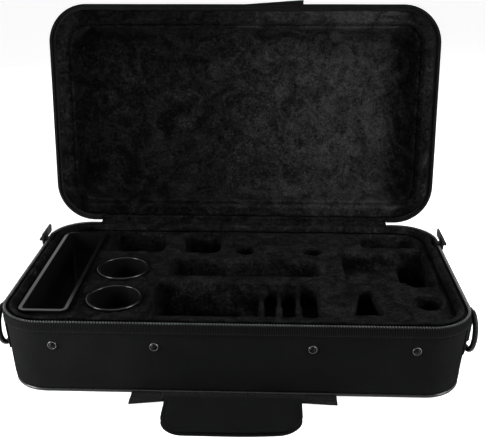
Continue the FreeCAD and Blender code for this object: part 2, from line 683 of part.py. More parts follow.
def slider(side):
    """Two plates joined by a web between the coils, with a bridge for the pull."""
    back_low, back_high = BASE_HEIGHT - SLIDER_INNER_HEIGHT / 2, BASE_HEIGHT + SLIDER_INNER_HEIGHT / 2
    outer = HALF_LENGTH + LAYER_GAP / 2 + TAPE_THICKNESS + SLIDER_CLEARANCE
    inner = HALF_LENGTH - COIL_INSET - COIL_WIDTH - draw_in(back_high) - SLIDER_CLEARANCE
    face_low, face_high = SLIDER_PARK_Y - SLIDER_LENGTH / 2, SLIDER_PARK_Y + SLIDER_LENGTH / 2
    low, high = BASE_HEIGHT - SLIDER_HEIGHT / 2, BASE_HEIGHT + SLIDER_HEIGHT / 2
    front_plate = box(outer, outer + SLIDER_PLATE, face_low, face_high, low, high)
    corners = [edge for edge in front_plate.Edges if edge.BoundBox.XLength > SLIDER_PLATE / 2
               and edge.BoundBox.YLength < SLIDER_PLATE / 2]
    front_plate = front_plate.makeFillet(SLIDER_CORNER, corners)
    back_plate = box(inner - SLIDER_PLATE, inner, face_low, face_high, back_low, back_high)
    half_web = SLIDER_WEB_LENGTH / 2
    web = box(inner, outer, SLIDER_PARK_Y - half_web, SLIDER_PARK_Y + half_web,
              BASE_HEIGHT - SLIDER_WEB / 2, BASE_HEIGHT + SLIDER_WEB / 2)
    shape = front_plate.fuse([back_plate, web, bridge(outer + SLIDER_PLATE)]).removeSplitter()
    return mirrored(shape, side)


def bridge(face):
    """A flat arch along the slider, standing on its face."""
    half, half_width = BRIDGE_LENGTH / 2, BRIDGE_WIDTH / 2
    inside = half - BRIDGE_THICKNESS
    low, high = BASE_HEIGHT - half_width, BASE_HEIGHT + half_width
    whole = box(face, face + BRIDGE_RISE, SLIDER_PARK_Y - half, SLIDER_PARK_Y + half, low, high)
    gap = box(face, face + BRIDGE_RISE - BRIDGE_THICKNESS, SLIDER_PARK_Y - inside, SLIDER_PARK_Y + inside,
              low, high)
    return whole.cut(gap)


def mirrored(shape, side):
    """A piece drawn for the right end, or its mirror image for the left."""
    return shape if side > 0 else shape.mirror(Vector(0, 0, 0), X_AXIS)


def pull_axis_x():
    """How far out the pull tab's pin stands, midway in the bridge's gap."""
    face = HALF_LENGTH + LAYER_GAP / 2 + TAPE_THICKNESS + SLIDER_CLEARANCE + SLIDER_PLATE
    return face + (BRIDGE_RISE - BRIDGE_THICKNESS) / 2


def pull_tab(side):
    """A flat tab with a pin under the bridge, lying back along the slider."""
    x = pull_axis_x()
    half = PULL_THICKNESS / 2
    eye = PULL_EYE_WIDTH / 2
    arm = eye + PULL_ARM_WIDTH
    blade_start = SLIDER_PARK_Y + BRIDGE_LENGTH / 2 + PULL_BRIDGE_CLEARANCE
    tip = SLIDER_PARK_Y + PULL_LENGTH
    pin = rod(PULL_PIN_RADIUS, 2 * arm, Vector(x, SLIDER_PARK_Y, BASE_HEIGHT - arm), Z_AXIS)
    blade = box(x - half, x + half, blade_start, tip, BASE_HEIGHT - arm, BASE_HEIGHT + arm)
    ends = [edge for edge in blade.Edges if edge.BoundBox.XLength > half and edge.BoundBox.YLength < half
            and edge.BoundBox.YMax > tip - half]
    blade = blade.makeFillet(PULL_END_RADIUS, ends)
    hole_start = Vector(x - half, tip - PULL_HOLE_FROM_TIP, BASE_HEIGHT)
    hole = rod(PULL_HOLE_RADIUS, PULL_THICKNESS, hole_start, X_AXIS)
    arms = []
    for low in (BASE_HEIGHT - arm, BASE_HEIGHT + eye):
        arms.append(box(x - half, x + half, SLIDER_PARK_Y, blade_start, low, low + PULL_ARM_WIDTH))
    return mirrored(blade.cut(hole).fuse([pin] + arms).removeSplitter(), side)


# Shoulder-strap rings

def on_end_wall(shape, side):
    """A piece drawn on the YZ plane, set on the leaning right end wall and mirrored if need be."""
    placed = shape.copy()
    placed.rotate(Vector(0, 0, 0), Y_AXIS, math.degrees(DRAFT_RAD))
    placed.translate(Vector(HALF_LENGTH - draw_in(RING_Z), 0, RING_Z))
    return mirrored(placed, side)


def bar_out():
    """How far the ring's bar stands out from the wall."""
    return LAYER_GAP + TAB_THICKNESS + TAB_FIT + RING_WIRE_RADIUS


def ring_tab(side):
    """A webbing tab, sewn down behind the ring, that loops round the ring's bar."""
    half = TAB_WIDTH / 2
    eye = RING_WIRE_RADIUS + TAB_FIT
    outer = eye + TAB_THICKNESS
    centre = Vector(bar_out(), RING_BAR_Y, -half)
    loop = rod(outer, TAB_WIDTH, centre, Z_AXIS)
    thick = LAYER_GAP + 2 * TAB_THICKNESS
    tail = RING_BAR_Y + TAB_LENGTH
    merge = RING_BAR_Y + TAB_MERGE
    profile = [(LAYER_GAP, RING_BAR_Y), (LAYER_GAP, tail), (thick, tail), (thick, merge),
               (bar_out() + outer, RING_BAR_Y)]
    face = Part.Face(Part.makePolygon([Vector(x, y, -half) for x, y in profile + profile[:1]]))
    body = loop.fuse(face.extrude(Z_AXIS * TAB_WIDTH)).removeSplitter()
    return on_end_wall(body.cut(rod(eye, TAB_WIDTH, centre, Z_AXIS)), side)


def d_ring(side):
    """A straight bar and a round bow, swung out a little as photographed."""
    half = RING_INNER_HEIGHT / 2 + RING_WIRE_RADIUS
    x, wire = bar_out(), RING_WIRE_RADIUS
    straight = RING_REACH - half
    bow_y = RING_BAR_Y - straight
    outside = half + wire
    front_half = box(x - wire, x + wire, bow_y - outside, bow_y, -outside, outside)
    ring = Part.makeTorus(half, wire, Vector(x, bow_y, 0), X_AXIS).common(front_half)
    pieces = [rod(wire, 2 * half, Vector(x, RING_BAR_Y, -half), Z_AXIS)]
    for z in (-half, half):
        pieces.append(Part.makeSphere(wire, Vector(x, RING_BAR_Y, z)))
        pieces.append(rod(wire, straight, Vector(x, RING_BAR_Y, z), -Y_AXIS))
    ring = ring.fuse(pieces).removeSplitter()
    ring.rotate(Vector(x, RING_BAR_Y, 0), Z_AXIS, RING_SWING_OUT_DEG)
    return on_end_wall(ring, side)


# Base handle

def handle_axis_y():
    """Where the webbing loop bends up from the ground, in front of the bottom seam."""
    return draw_in(PIPING_RADIUS + PIPING_LIFT) - HALF_DEPTH - HANDLE_HINGE_OUT


def handle_levels():
    """The webbing's underside and top, which leave the wrap's lower leaf below it."""
    return WRAP_SKIN + SEAT_GAP, WRAP_SKIN + SEAT_GAP + WEBBING_THICKNESS


def base_handle_webbing():
    """The loop's two visible corners and the band between the leaves of the wrap."""
    low, high = handle_levels()
    axis = handle_axis_y()
    root = axis - WRAP_SPINE / 2 - SEAT_GAP
    half, wrap = BASE_HANDLE_HALF_WIDTH, WRAP_HALF_WIDTH + SEAT_GAP
    band = root - CROSS_BAND_REACH
    corner = WEBBING_THICKNESS
    left = [(-half, axis), (-half, axis - BASE_HANDLE_LEFT_REACH), (-wrap, root - corner), (-wrap, axis)]
    right = [(half, axis), (half, axis - BASE_HANDLE_RIGHT_REACH), (wrap, root - corner), (wrap, axis)]
    inner = box(-wrap, wrap, band, root, low, high)
    bend = WEBBING_THICKNESS / 2
    middle = Vector(0, axis, low + bend)
    beads = [rod(bend, half - wrap, middle + X_AXIS * start, X_AXIS) for start in (-half, wrap)]
    return inner.fuse([slab(left, low, high), slab(right, low, high)] + beads).removeSplitter()


def base_handle_stubs():
    """The ends of the webbing where they leave the bottom seam."""
    low, high = handle_levels()
    start = draw_in(PIPING_RADIUS + PIPING_LIFT) - HALF_DEPTH - SEAT_GAP
    end = handle_axis_y() + WEBBING_THICKNESS / 2 + SEAT_GAP
    outer = BASE_HANDLE_HALF_WIDTH
    inner = outer - WEBBING_WIDTH
    return group([box(x, x + WEBBING_WIDTH, end, start, low, high) for x in (-outer, inner)])


def wrap_leaf(z_low, z_high, back):
    """A leaf of the wrap: a plate with two round front corners and a soft upper edge."""
    axis = handle_axis_y()
    half, front = WRAP_HALF_WIDTH, axis - WRAP_REACH
    far = back + 2 * WRAP_CORNER_RADIUS
    plate = rounded_block(-half, half, front, far, WRAP_CORNER_RADIUS, z_low, z_high)
    return plate.common(box(-half, half, front, back, z_low, z_high))


def wrap_patch(z_low, z_high):
    """A strip of hook or loop tape near the leaves' front edge."""
    front = handle_axis_y() - WRAP_REACH + PATCH_FROM_EDGE
    half = PATCH_LENGTH / 2
    return box(-half, half, front, front + PATCH_WIDTH, z_low, z_high)


def wrap_flap_axis_z():
    """The height of the fold about which the upper leaf opens."""
    return WRAP_LEAF_THICKNESS + SEAT_GAP + WRAP_LEAF_THICKNESS / 2


def handle_wrap():
    """Both leaves of the padded wrap and the two halves of its fastening."""
    axis = handle_axis_y()
    half_spine = WRAP_SPINE / 2
    fold_z = wrap_flap_axis_z()
    lower_top = WRAP_LEAF_THICKNESS
    band_low = WRAP_SKIN
    band_front = axis - half_spine - 2 * SEAT_GAP - CROSS_BAND_REACH
    lower = wrap_leaf(0, lower_top, axis + half_spine)
    half = WRAP_HALF_WIDTH
    lower = lower.cut(box(-half, half, band_front, axis - half_spine, band_low, lower_top))
    spine = box(-half, half, axis - half_spine, axis + half_spine, band_low, fold_z)
    fold = rod(half_spine, 2 * half, Vector(-half, axis, fold_z), X_AXIS)
    lower = lower.fuse([spine, fold]).removeSplitter()
    lower = lower.cut(wrap_patch(lower_top - PATCH_THICKNESS, lower_top))
    upper_low = lower_top + SEAT_GAP
    upper_high = upper_low + WRAP_LEAF_THICKNESS
    upper = wrap_leaf(upper_low, upper_high, axis - half_spine - SEAT_GAP)
    soft = [edge for edge in upper.Edges if edge.BoundBox.ZMin > upper_high - SEAT_GAP]
    upper = upper.makeFillet(WRAP_EDGE_RADIUS, soft)
    upper = upper.cut(wrap_patch(upper_low, upper_low + PATCH_THICKNESS))
    return {
        "handle_wrap_lower": lower,
        "handle_wrap_upper": upper,
        "wrap_loop_strip": wrap_patch(lower_top - PATCH_THICKNESS, lower_top),
        "wrap_hook_strip": wrap_patch(upper_low, upper_low + PATCH_THICKNESS),
    }


# Lid handle, drawn on the shut lid's top

def lid_handle():
    """The webbing loop on the lid and its two ends, sewn down behind it."""
    low = CASE_TOP + SEAT_GAP
    high = low + WEBBING_THICKNESS
    bend = WEBBING_THICKNESS / 2
    outer = LID_HANDLE_HALF_WIDTH
    inner = outer - WEBBING_WIDTH
    axis = LID_HANDLE_AXIS_IN - HALF_DEPTH
    top_left = LID_DRAW_IN - HALF_DEPTH - LID_HANDLE_LEFT_OVER
    top_right = LID_DRAW_IN - HALF_DEPTH - LID_HANDLE_RIGHT_OVER
    skew = (top_right - top_left) * WEBBING_WIDTH / (2 * outer)
    inside_right, inside_left = top_right - skew + WEBBING_WIDTH, top_left + skew + WEBBING_WIDTH
    points = [(-outer, axis), (-outer, top_left), (outer, top_right), (outer, axis), (inner, axis),
              (inner, inside_right), (-inner, inside_left), (-inner, axis)]
    beads = [rod(bend, WEBBING_WIDTH, Vector(x, axis, low + bend), X_AXIS) for x in (-outer, inner)]
    loop = slab(points, low, high).fuse(beads).removeSplitter()
    start = axis + bend + SEAT_GAP
    ends = [box(x, x + WEBBING_WIDTH, start, start + LID_ANCHOR_LENGTH, low, high) for x in (-outer, inner)]
    return {"lid_handle_webbing": opened(loop), "lid_handle_ends": opened(group(ends))}


def all_pieces():
    """Every piece of the case by name."""
    pieces = base_walls()
    pieces["base_insert"] = insert()
    pieces["accessory_box"] = accessory_box()
    pieces["mouthpiece_cup_front"] = cup(FRONT_CUP_X, FRONT_CUP_Y)
    pieces["mouthpiece_cup_rear"] = cup(REAR_CUP_X, REAR_CUP_Y)
    pieces["base_rim_lip"] = base_rim()
    pieces.update(front_rivets())
    pieces.update(zip_halves())
    pieces.update(hinge_pieces())
    pieces.update(lid_walls())
    for side, name in ((-1, "left"), (1, "right")):
        pieces["zip_slider_" + name] = slider(side)
        pieces["pull_tab_" + name] = pull_tab(side)
        pieces["ring_tab_" + name] = ring_tab(side)
        pieces["d_ring_" + name] = d_ring(side)
    pieces["base_handle_webbing"] = base_handle_webbing()
    pieces["base_handle_stubs"] = base_handle_stubs()
    pieces.update(handle_wrap())
    pieces.update(lid_handle())
    return pieces


def main():
    os.makedirs("parts", exist_ok=True)
    for name, shape in all_pieces().items():
        shape.exportStep(f"parts/{name}.step")


main()
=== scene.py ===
import math

import bmesh
import bpy
import numpy as np
from mathutils import Matrix, Vector, noise


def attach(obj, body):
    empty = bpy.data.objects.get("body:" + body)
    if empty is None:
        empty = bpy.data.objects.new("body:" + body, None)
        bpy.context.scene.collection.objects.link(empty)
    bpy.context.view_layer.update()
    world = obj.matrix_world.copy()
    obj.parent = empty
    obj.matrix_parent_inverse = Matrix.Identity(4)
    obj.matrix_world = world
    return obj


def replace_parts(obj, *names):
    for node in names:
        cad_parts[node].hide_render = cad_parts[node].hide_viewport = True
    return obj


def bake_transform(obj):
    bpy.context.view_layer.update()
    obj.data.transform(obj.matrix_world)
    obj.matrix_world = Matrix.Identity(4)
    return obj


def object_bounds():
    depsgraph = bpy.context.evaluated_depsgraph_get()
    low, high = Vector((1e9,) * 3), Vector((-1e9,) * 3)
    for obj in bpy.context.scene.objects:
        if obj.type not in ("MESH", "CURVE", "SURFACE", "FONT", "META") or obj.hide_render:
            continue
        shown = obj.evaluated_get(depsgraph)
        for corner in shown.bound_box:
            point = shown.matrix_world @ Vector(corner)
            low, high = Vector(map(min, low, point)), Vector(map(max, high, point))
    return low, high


# A zip-fastened double clarinet case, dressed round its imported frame.
# Lengths are millimetres; the camera, lights, floor, flat sizes and joints' sides are in metres.
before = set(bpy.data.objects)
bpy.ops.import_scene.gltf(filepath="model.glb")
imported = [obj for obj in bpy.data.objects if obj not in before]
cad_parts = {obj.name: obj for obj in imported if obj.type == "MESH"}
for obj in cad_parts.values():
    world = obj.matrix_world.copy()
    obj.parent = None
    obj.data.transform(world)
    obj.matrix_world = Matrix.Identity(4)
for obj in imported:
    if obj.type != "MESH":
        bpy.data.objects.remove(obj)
CAD_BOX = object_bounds()

# A millimetre in metres
MM = 0.001

# The case's outline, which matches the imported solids
HALF_LENGTH = 195.0
HALF_DEPTH = 110.0
CORNER_RADIUS = 38.0
BASE_HEIGHT = 70.0
LID_HEIGHT = 34.0
BASE_DRAW_IN = 5.0
LID_DRAW_IN = 4.0
HINGE_Y = 110.5
OPEN_ANGLE = math.radians(96.8)
ZIP_END_X = 150.0
CASE_TOP = BASE_HEIGHT + LID_HEIGHT
STRAIGHT_X = HALF_LENGTH - CORNER_RADIUS
STRAIGHT_Y = HALF_DEPTH - CORNER_RADIUS
QUARTER = math.pi * CORNER_RADIUS / 2
PERIMETER = 4 * (STRAIGHT_X + STRAIGHT_Y + QUARTER)


# Materials

class Nodes:
    """A node tree with short ways to add nodes; each Name_With_Words is an input socket."""

    def __init__(self, owner, shader):
        owner.use_nodes = True
        self.owner, self.tree = owner, owner.node_tree
        self.shader = self.tree.nodes[shader]

    def feed(self, value, socket):
        """Gives a socket its own value, or links it to another node's output."""
        if isinstance(value, bpy.types.NodeSocket):
            self.tree.links.new(value, socket)
        else:
            socket.default_value = value

    def add(self, kind, **settings):
        node = self.tree.nodes.new(kind)
        for key, value in settings.items():
            if hasattr(node, key):
                setattr(node, key, value)
            else:
                self.feed(value, node.inputs[key.replace("_", " ")])
        return node

    def finish(self, **values):
        """Fills the shader's sockets and gives its owner."""
        for key, value in values.items():
            self.feed(value, self.shader.inputs[key.replace("_", " ")])
        return self.owner

    def millimetres(self, source):
        return self.add("ShaderNodeMapping", Vector=source, Scale=(1 / MM,) * 3).outputs["Vector"]

    def place(self):
        """The point on the piece, in millimetres."""
        return self.millimetres(self.add("ShaderNodeTexCoord").outputs["Object"])

    def along(self):
        """The run and the height on a swept piece, in millimetres."""
        return self.millimetres(self.add("ShaderNodeUVMap", uv_map="cloth").outputs["UV"])

    def noise(self, vector, scale, detail=3.0, roughness=0.55, distortion=0.0):
        return self.add("ShaderNodeTexNoise", Vector=vector, Scale=scale, Detail=detail,
                        Roughness=roughness, Distortion=distortion).outputs["Fac"]

    def wave(self, vector, pitch, direction, distortion=0.0):
        """Bands one pitch apart; the texture's phase is 20 times its scaled place."""
        return self.add("ShaderNodeTexWave", Vector=vector, Scale=2 * math.pi / (20 * pitch),
                        Distortion=distortion, bands_direction=direction).outputs["Fac"]

    def cells(self, vector, scale):
        return self.add("ShaderNodeTexVoronoi", Vector=vector, Scale=scale).outputs["Distance"]

    def math(self, operation, first, second):
        node = self.add("ShaderNodeMath", operation=operation)
        for socket, value in zip(node.inputs, (first, second)):
            self.feed(value, socket)
        return node.outputs["Value"]

    def total(self, *terms):
        """The sum of terms, each a weight and a factor."""
        parts = [self.math("MULTIPLY", factor, weight) for weight, factor in terms]
        whole = parts[0]
        for part in parts[1:]:
            whole = self.math("ADD", whole, part)
        return whole

    def ramp(self, factor, level, *stops, tint=0.0):
        """Greys at stops, each a position and a share of the level, bluer with a positive tint."""
        node = self.add("ShaderNodeValToRGB", Fac=factor)
        elements = node.color_ramp.elements
        while len(elements) < len(stops):
            elements.new(0.5)
        for element, (position, share) in zip(elements, stops):
            grey = level * share
            element.position = position
            element.color = (grey * (1 - tint), grey, grey * (1 + tint), 1.0)
        return node.outputs["Color"]

    def span(self, factor, low, high, start=0.0, end=1.0):
        """A factor between start and end turned into one between low and high."""
        return self.add("ShaderNodeMapRange", Value=factor, From_Min=start, From_Max=end, To_Min=low,
                        To_Max=high).outputs["Result"]

    def shaded(self, colour, distance, power):
        """A colour darkened in hollows by ambient occlusion: painted shade."""
        hollow = self.add("ShaderNodeAmbientOcclusion", Distance=distance * MM, samples=6)
        mix = self.add("ShaderNodeMix", data_type="RGBA", blend_type="MULTIPLY", Factor=1.0)
        first, second, result = mix.inputs[6], mix.inputs[7], mix.outputs[2]
        self.feed(colour, first)
        self.feed(self.math("POWER", hollow.outputs["AO"], power), second)
        return result

    def bump(self, height, distance, strength, under=None):
        node = self.add("ShaderNodeBump", Strength=strength, Distance=distance * MM, Height=height)
        if under is not None:
            self.feed(under, node.inputs["Normal"])
        return node.outputs["Normal"]


def surface(name):
    """A new material's nodes."""
    return Nodes(bpy.data.materials.new(name), "Principled BSDF")


def weave(nodes, vector, pitch):
    """The height of a plain weave: threads over and under each other."""
    warp, weft = nodes.wave(vector, pitch, "X"), nodes.wave(vector, pitch, "Y")
    over = nodes.add("ShaderNodeTexChecker", Vector=vector, Scale=1.0 / pitch).outputs["Fac"]
    under = nodes.math("SUBTRACT", 1.0, over)
    return nodes.math("ADD", nodes.math("MULTIPLY", warp, over), nodes.math("MULTIPLY", weft, under))


def cloth_material(name, level, pitch):
    """Dense woven nylon: thread relief, faint slubs, soft changes of tone and a dull sheen."""
    nodes = surface(name)
    along = nodes.along()
    slubs = nodes.noise(along, 0.9, 2.0)
    cloudy = nodes.noise(nodes.place(), 0.035, 4.0, 0.6)
    tone = nodes.total((0.25, cloudy), (0.75, slubs))
    height = nodes.total((1.0, weave(nodes, along, pitch)), (0.8, slubs))
    return nodes.finish(
        Base_Color=nodes.ramp(tone, level, (0.38, 0.66), (0.62, 1.36), tint=0.02),
        Roughness=nodes.span(slubs, 0.72, 0.9),
        Normal=nodes.bump(height, 0.14, 0.9, nodes.bump(cloudy, 2.2, 0.25)),
        Specular_IOR_Level=0.0, Sheen_Weight=0.006, Sheen_Roughness=0.5)


def plush_material(name, level, hollow, painted_light):
    """Short pile laid in streaks by brushing, with painted shade in its hollows; the last argument gives
    painted light along the case: points in X and how much lighter or darker the tone is painted there.
    """
    nodes = surface(name)
    place = nodes.place()
    lay = nodes.noise(place, 0.045, 3.0, 0.6, 1.4)
    tufts = nodes.noise(place, 0.42, 4.0, 0.7, 1.1)
    fibres = nodes.noise(place, 1.7, 2.0, 0.6)
    # Painted light: a ramp over X makes the pile lighter or darker along the case
    place_x = nodes.add("ShaderNodeSeparateXYZ", Vector=place).outputs["X"]
    painted_light_ramp = nodes.ramp(nodes.span(place_x, 0.0, 1.0, -HALF_LENGTH, HALF_LENGTH), 1.0,
                         *((x / HALF_LENGTH / 2 + 0.5, 0.5 + shift) for x, shift in painted_light))
    tone = nodes.total((0.62, tufts), (0.38, lay), (1.0, nodes.math("SUBTRACT", painted_light_ramp, 0.5)))
    colour = nodes.ramp(tone, level, (0.36, 0.16), (0.5, 0.75), (0.68, 3.2))
    height = nodes.total((1.0, tufts), (0.35, fibres))
    # Painted shade: ambient occlusion darkens the pile's colour in hollows
    return nodes.finish(
        Base_Color=nodes.shaded(colour, hollow, 1.6), Roughness=nodes.span(fibres, 0.8, 1.0),
        Normal=nodes.bump(height, 1.5, 0.95, nodes.bump(lay, 3.4, 0.6)),
        Specular_IOR_Level=0.0, Sheen_Weight=0.006, Sheen_Roughness=0.3)


def plastic_material(name, level, roughness, gloss):
    """Moulded plastic with a faint orange peel and hairline scuffs."""
    nodes = surface(name)
    place = nodes.place()
    scuffs = nodes.noise(place, 0.12, 5.0, 0.7, 0.8)
    return nodes.finish(
        Base_Color=nodes.ramp(scuffs, level, (0.3, 0.8), (0.8, 1.25)),
        Roughness=nodes.span(scuffs, roughness * 0.7, roughness * 1.5),
        Normal=nodes.bump(nodes.noise(place, 0.6, 2.0), 0.05, 0.5), Specular_IOR_Level=gloss)


def coil_material(name, level, gloss):
    """Drawn nylon filament with a fine grain."""
    nodes = surface(name)
    place = nodes.place()
    grain, dust = nodes.noise(place, 2.2, 2.0), nodes.noise(place, 0.08, 3.0)
    return nodes.finish(
        Base_Color=nodes.ramp(dust, level, (0.3, 0.7), (0.7, 1.4), tint=0.02),
        Roughness=nodes.span(grain, 0.22, 0.4), Normal=nodes.bump(grain, 0.04, 0.5),
        Specular_IOR_Level=gloss)


def tape_material(name, level):
    """Narrow-woven tape: close ribs across its run, with a herringbone between them."""
    nodes = surface(name)
    along = nodes.along()
    ribs, twill = nodes.wave(along, 1.8, "X"), nodes.wave(along, 0.6, "DIAGONAL")
    fuzz = nodes.noise(along, 1.4, 2.0)
    tone = nodes.total((0.6, ribs), (0.5, fuzz))
    height = nodes.total((1.0, ribs), (0.5, twill))
    return nodes.finish(
        Base_Color=nodes.ramp(tone, level, (0.2, 0.35), (0.85, 2.2)),
        Roughness=nodes.span(fuzz, 0.6, 0.85), Normal=nodes.bump(height, 0.2, 0.9),
        Specular_IOR_Level=0.0)


def webbing_material(name, level):
    """Heavy webbing: coarse chevron ribs across it."""
    nodes = surface(name)
    along = nodes.along()
    ribs, cross = nodes.wave(along, 1.6, "X", 0.4), nodes.wave(along, 1.1, "Y")
    fuzz = nodes.noise(along, 1.1, 2.0)
    height = nodes.total((1.0, ribs), (0.45, cross))
    tone = nodes.total((0.4, height), (0.5, fuzz))
    return nodes.finish(
        Base_Color=nodes.ramp(tone, level, (0.2, 0.55), (0.85, 1.6)),
        Roughness=nodes.span(fuzz, 0.62, 0.86), Normal=nodes.bump(height, 0.35, 0.9),
        Specular_IOR_Level=0.0)


def fastener_material(name, level):
    """Hook and loop tape: a dense field of tiny loops."""
    nodes = surface(name)
    place = nodes.place()
    fuzz = nodes.noise(place, 1.6, 3.0)
    return nodes.finish(
        Base_Color=nodes.ramp(fuzz, level, (0.3, 0.6), (0.75, 1.5)),
        Roughness=nodes.span(fuzz, 0.7, 0.95), Normal=nodes.bump(nodes.cells(place, 1.3), 0.3, 0.9),
        Specular_IOR_Level=0.0)


def metal_material(name, level, roughness):
    """Plated metal with drawn scratches and slightly duller patches."""
    nodes = surface(name)
    place = nodes.place()
    patches = nodes.noise(place, 0.35, 4.0, 0.65)
    scratches = nodes.noise(place, 3.0, 2.0, 0.6, 2.0)
    return nodes.finish(
        Base_Color=nodes.ramp(patches, level, (0.3, 0.82), (0.7, 1.08)),
        Roughness=nodes.span(patches, roughness * 0.7, roughness * 1.4),
        Normal=nodes.bump(scratches, 0.02, 0.5), Metallic=1.0)


def foam_material(name, level):
    """Moulded cellular foam."""
    nodes = surface(name)
    place = nodes.place()
    tone = nodes.noise(place, 0.2, 3.0)
    return nodes.finish(
        Base_Color=nodes.ramp(tone, level, (0.3, 0.8), (0.7, 1.2)),
        Roughness=nodes.span(tone, 0.8, 0.95), Normal=nodes.bump(nodes.cells(place, 0.8), 0.25, 0.7),
        Specular_IOR_Level=0.0)


# Painted light along the case: the pile's tone made lighter or darker by X, where the light falls more or
# less on it: X and the shift of its tone
TRAY_PAINTED_LIGHT = ((-195, -0.04), (-60, -0.035), (40, -0.01), (195, 0.0))
LINING_PAINTED_LIGHT = ((-195, -0.08), (-178, -0.07), (-160, -0.11), (-60, -0.06), (20, 0.005), (110, 0.075),
              (148, 0.05), (168, -0.08), (180, -0.08), (188, -0.02))

CLOTH = cloth_material("cover_cloth", 0.0074, 0.62)
CLOTH_WRAP = cloth_material("wrap_cloth", 0.0056, 0.7)
PLUSH = plush_material("plush", 0.0095, 14.0, TRAY_PAINTED_LIGHT)
LINING = plush_material("lid_plush", 0.010, 32.0, LINING_PAINTED_LIGHT)
PIPING = plastic_material("piping", 0.007, 0.26, 0.3)
BOX_PLASTIC = plastic_material("box_plastic", 0.004, 0.16, 0.38)
# The same nylon twice: the base coil's colour painted lighter (painted light) and the lid coil's painted
# darker and duller (painted shade), for how the light falls on each
BASE_COIL_PAINTED_LIGHT = coil_material("zip_coil", 0.085, 0.25)
LID_COIL_PAINTED_SHADE = coil_material("lid_zip_coil_painted_shade", 0.008, 0.02)
TAPE = tape_material("zip_tape", 0.005)
WEBBING = webbing_material("webbing", 0.011)
FASTENER = fastener_material("hook_and_loop", 0.007)
NICKEL = metal_material("nickel", 0.09, 0.2)
STUD_METAL = metal_material("stud_metal", 0.007, 0.16)
DARK_METAL = metal_material("dark_metal", 0.010, 0.45)
ENAMEL = plastic_material("slider_enamel", 0.005, 0.5, 0.08)
FOAM = foam_material("foam", 0.008)
THREAD = coil_material("thread", 0.009, 0.04)


# Mesh helpers

def shown(name, data):
    """A new object in the scene."""
    made = bpy.data.objects.new(name, data)
    bpy.context.scene.collection.objects.link(made)
    return made


def piece(name, points, faces, material, body, slot_name, uvs=None):
    """A mesh piece from points in millimetres, riding on a body of the frame if one is named."""
    mesh = bpy.data.meshes.new(name)
    mesh.from_pydata([tuple(MM * c for c in p) for p in points], [], faces)
    if uvs is not None:
        layer = mesh.uv_layers.new(name="cloth")
        layer.data.foreach_set("uv", np.array(uvs, np.float32).reshape(-1) * MM)
    mesh.materials.append(material)
    mesh.polygons.foreach_set("use_smooth", [True] * len(mesh.polygons))
    mesh.update()
    made = shown(name, mesh)
    fix_normals(made)
    if body is not None:
        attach(made, body)
    return made


def fix_normals(made):
    """Turns every face outwards."""
    mesh = bmesh.new()
    mesh.from_mesh(made.data)
    bmesh.ops.recalc_face_normals(mesh, faces=mesh.faces)
    mesh.to_mesh(made.data)
    mesh.free()


def grid_faces(rows, columns, close_rows=False, uv=None):
    """Quads over rings of points, with their UV corners where runs along and across are given."""
    faces, corners = [], []
    for i in range(rows if close_rows else rows - 1):
        for j in range(columns):
            ring = ((i, j), (i + 1, j), (i + 1, j + 1), (i, j + 1))
            faces.append(tuple(a % rows * columns + b % columns for a, b in ring))
            if uv is not None:
                corners += [(uv[0][a], uv[1][b]) for a, b in ring]
    return faces, corners


def lengths_along(points):
    """The distance of each point from the first, along the line through them."""
    return np.concatenate([[0], np.cumsum(np.linalg.norm(np.diff(points, axis=0), axis=1))])


def skin(name, points, section, runs, material, body, slot_name, lid=False, closed_run=False):
    """A piece from rings of points, one closed section at each run; open ends are capped."""
    rows, columns = len(runs), len(section)
    across = lengths_along(np.vstack([section, section[:1]]))
    runs = list(runs) + ([PERIMETER] if closed_run else [])
    faces, corners = grid_faces(rows, columns, closed_run, (runs, across))
    if not closed_run:
        for start in (0, (rows - 1) * columns):
            faces.append(tuple(range(start, start + columns)))
            corners += [(across[j], 0.0) for j in range(columns)]
    points = opened(points) if lid else points
    return piece(name, points, faces, material, body, slot_name, corners)


def two_skins(name, points, layers, material, body, lid=False):
    """A sheet or pad: two stacks of rings from edge to middle, joined at the edge."""
    count = len(points) // (2 * layers)
    rings, _ = grid_faces(layers, count)
    faces = []
    for start in (0, layers * count):
        faces += [tuple(start + v for v in face) for face in rings]
        faces.append(tuple(range(start + (layers - 1) * count, start + layers * count)))
    for j in range(count):
        k = (j + 1) % count
        faces.append((j, k, layers * count + k, layers * count + j))
    corners = [tuple(points[v][:2]) for face in faces for v in face]
    points = opened(points) if lid else points
    return piece(name, points, faces, material, body, "cover_cloth", corners)


def draw_in(z):
    """How far the outside has drawn in from the rim plane at a height, as in the solids."""
    below = BASE_DRAW_IN * (BASE_HEIGHT - z) / BASE_HEIGHT
    above = LID_DRAW_IN * (z - BASE_HEIGHT) / LID_HEIGHT
    return np.where(z <= BASE_HEIGHT, below, above)


def outline_at(runs):
    """Points and outward directions on the rim's outline, from the rear middle round by the left."""
    runs = np.mod(np.asarray(runs, float), PERIMETER)
    points, outward = np.zeros((len(runs), 2)), np.zeros((len(runs), 2))
    start, place = 0.0, np.array((0.0, HALF_DEPTH))
    for length, normal in ((STRAIGHT_X, (0, 1)), (2 * STRAIGHT_Y, (-1, 0)), (2 * STRAIGHT_X, (0, -1)),
                           (2 * STRAIGHT_Y, (1, 0)), (STRAIGHT_X, (0, 1))):
        normal, way = np.array(normal), np.array((-normal[1], normal[0]))
        here = (runs >= start) & (runs <= start + length)
        points[here] = place + (runs[here] - start)[:, None] * way
        outward[here] = normal
        start, place = start + length, place + length * way
        # The corner after the straight
        here = (runs >= start) & (runs <= start + QUARTER)
        turn = (runs[here] - start)[:, None] / CORNER_RADIUS
        outward[here] = normal * np.cos(turn) + way * np.sin(turn)
        points[here] = place + CORNER_RADIUS * (outward[here] - normal)
        start, place = start + QUARTER, place + CORNER_RADIUS * (way - normal)
    return points, outward


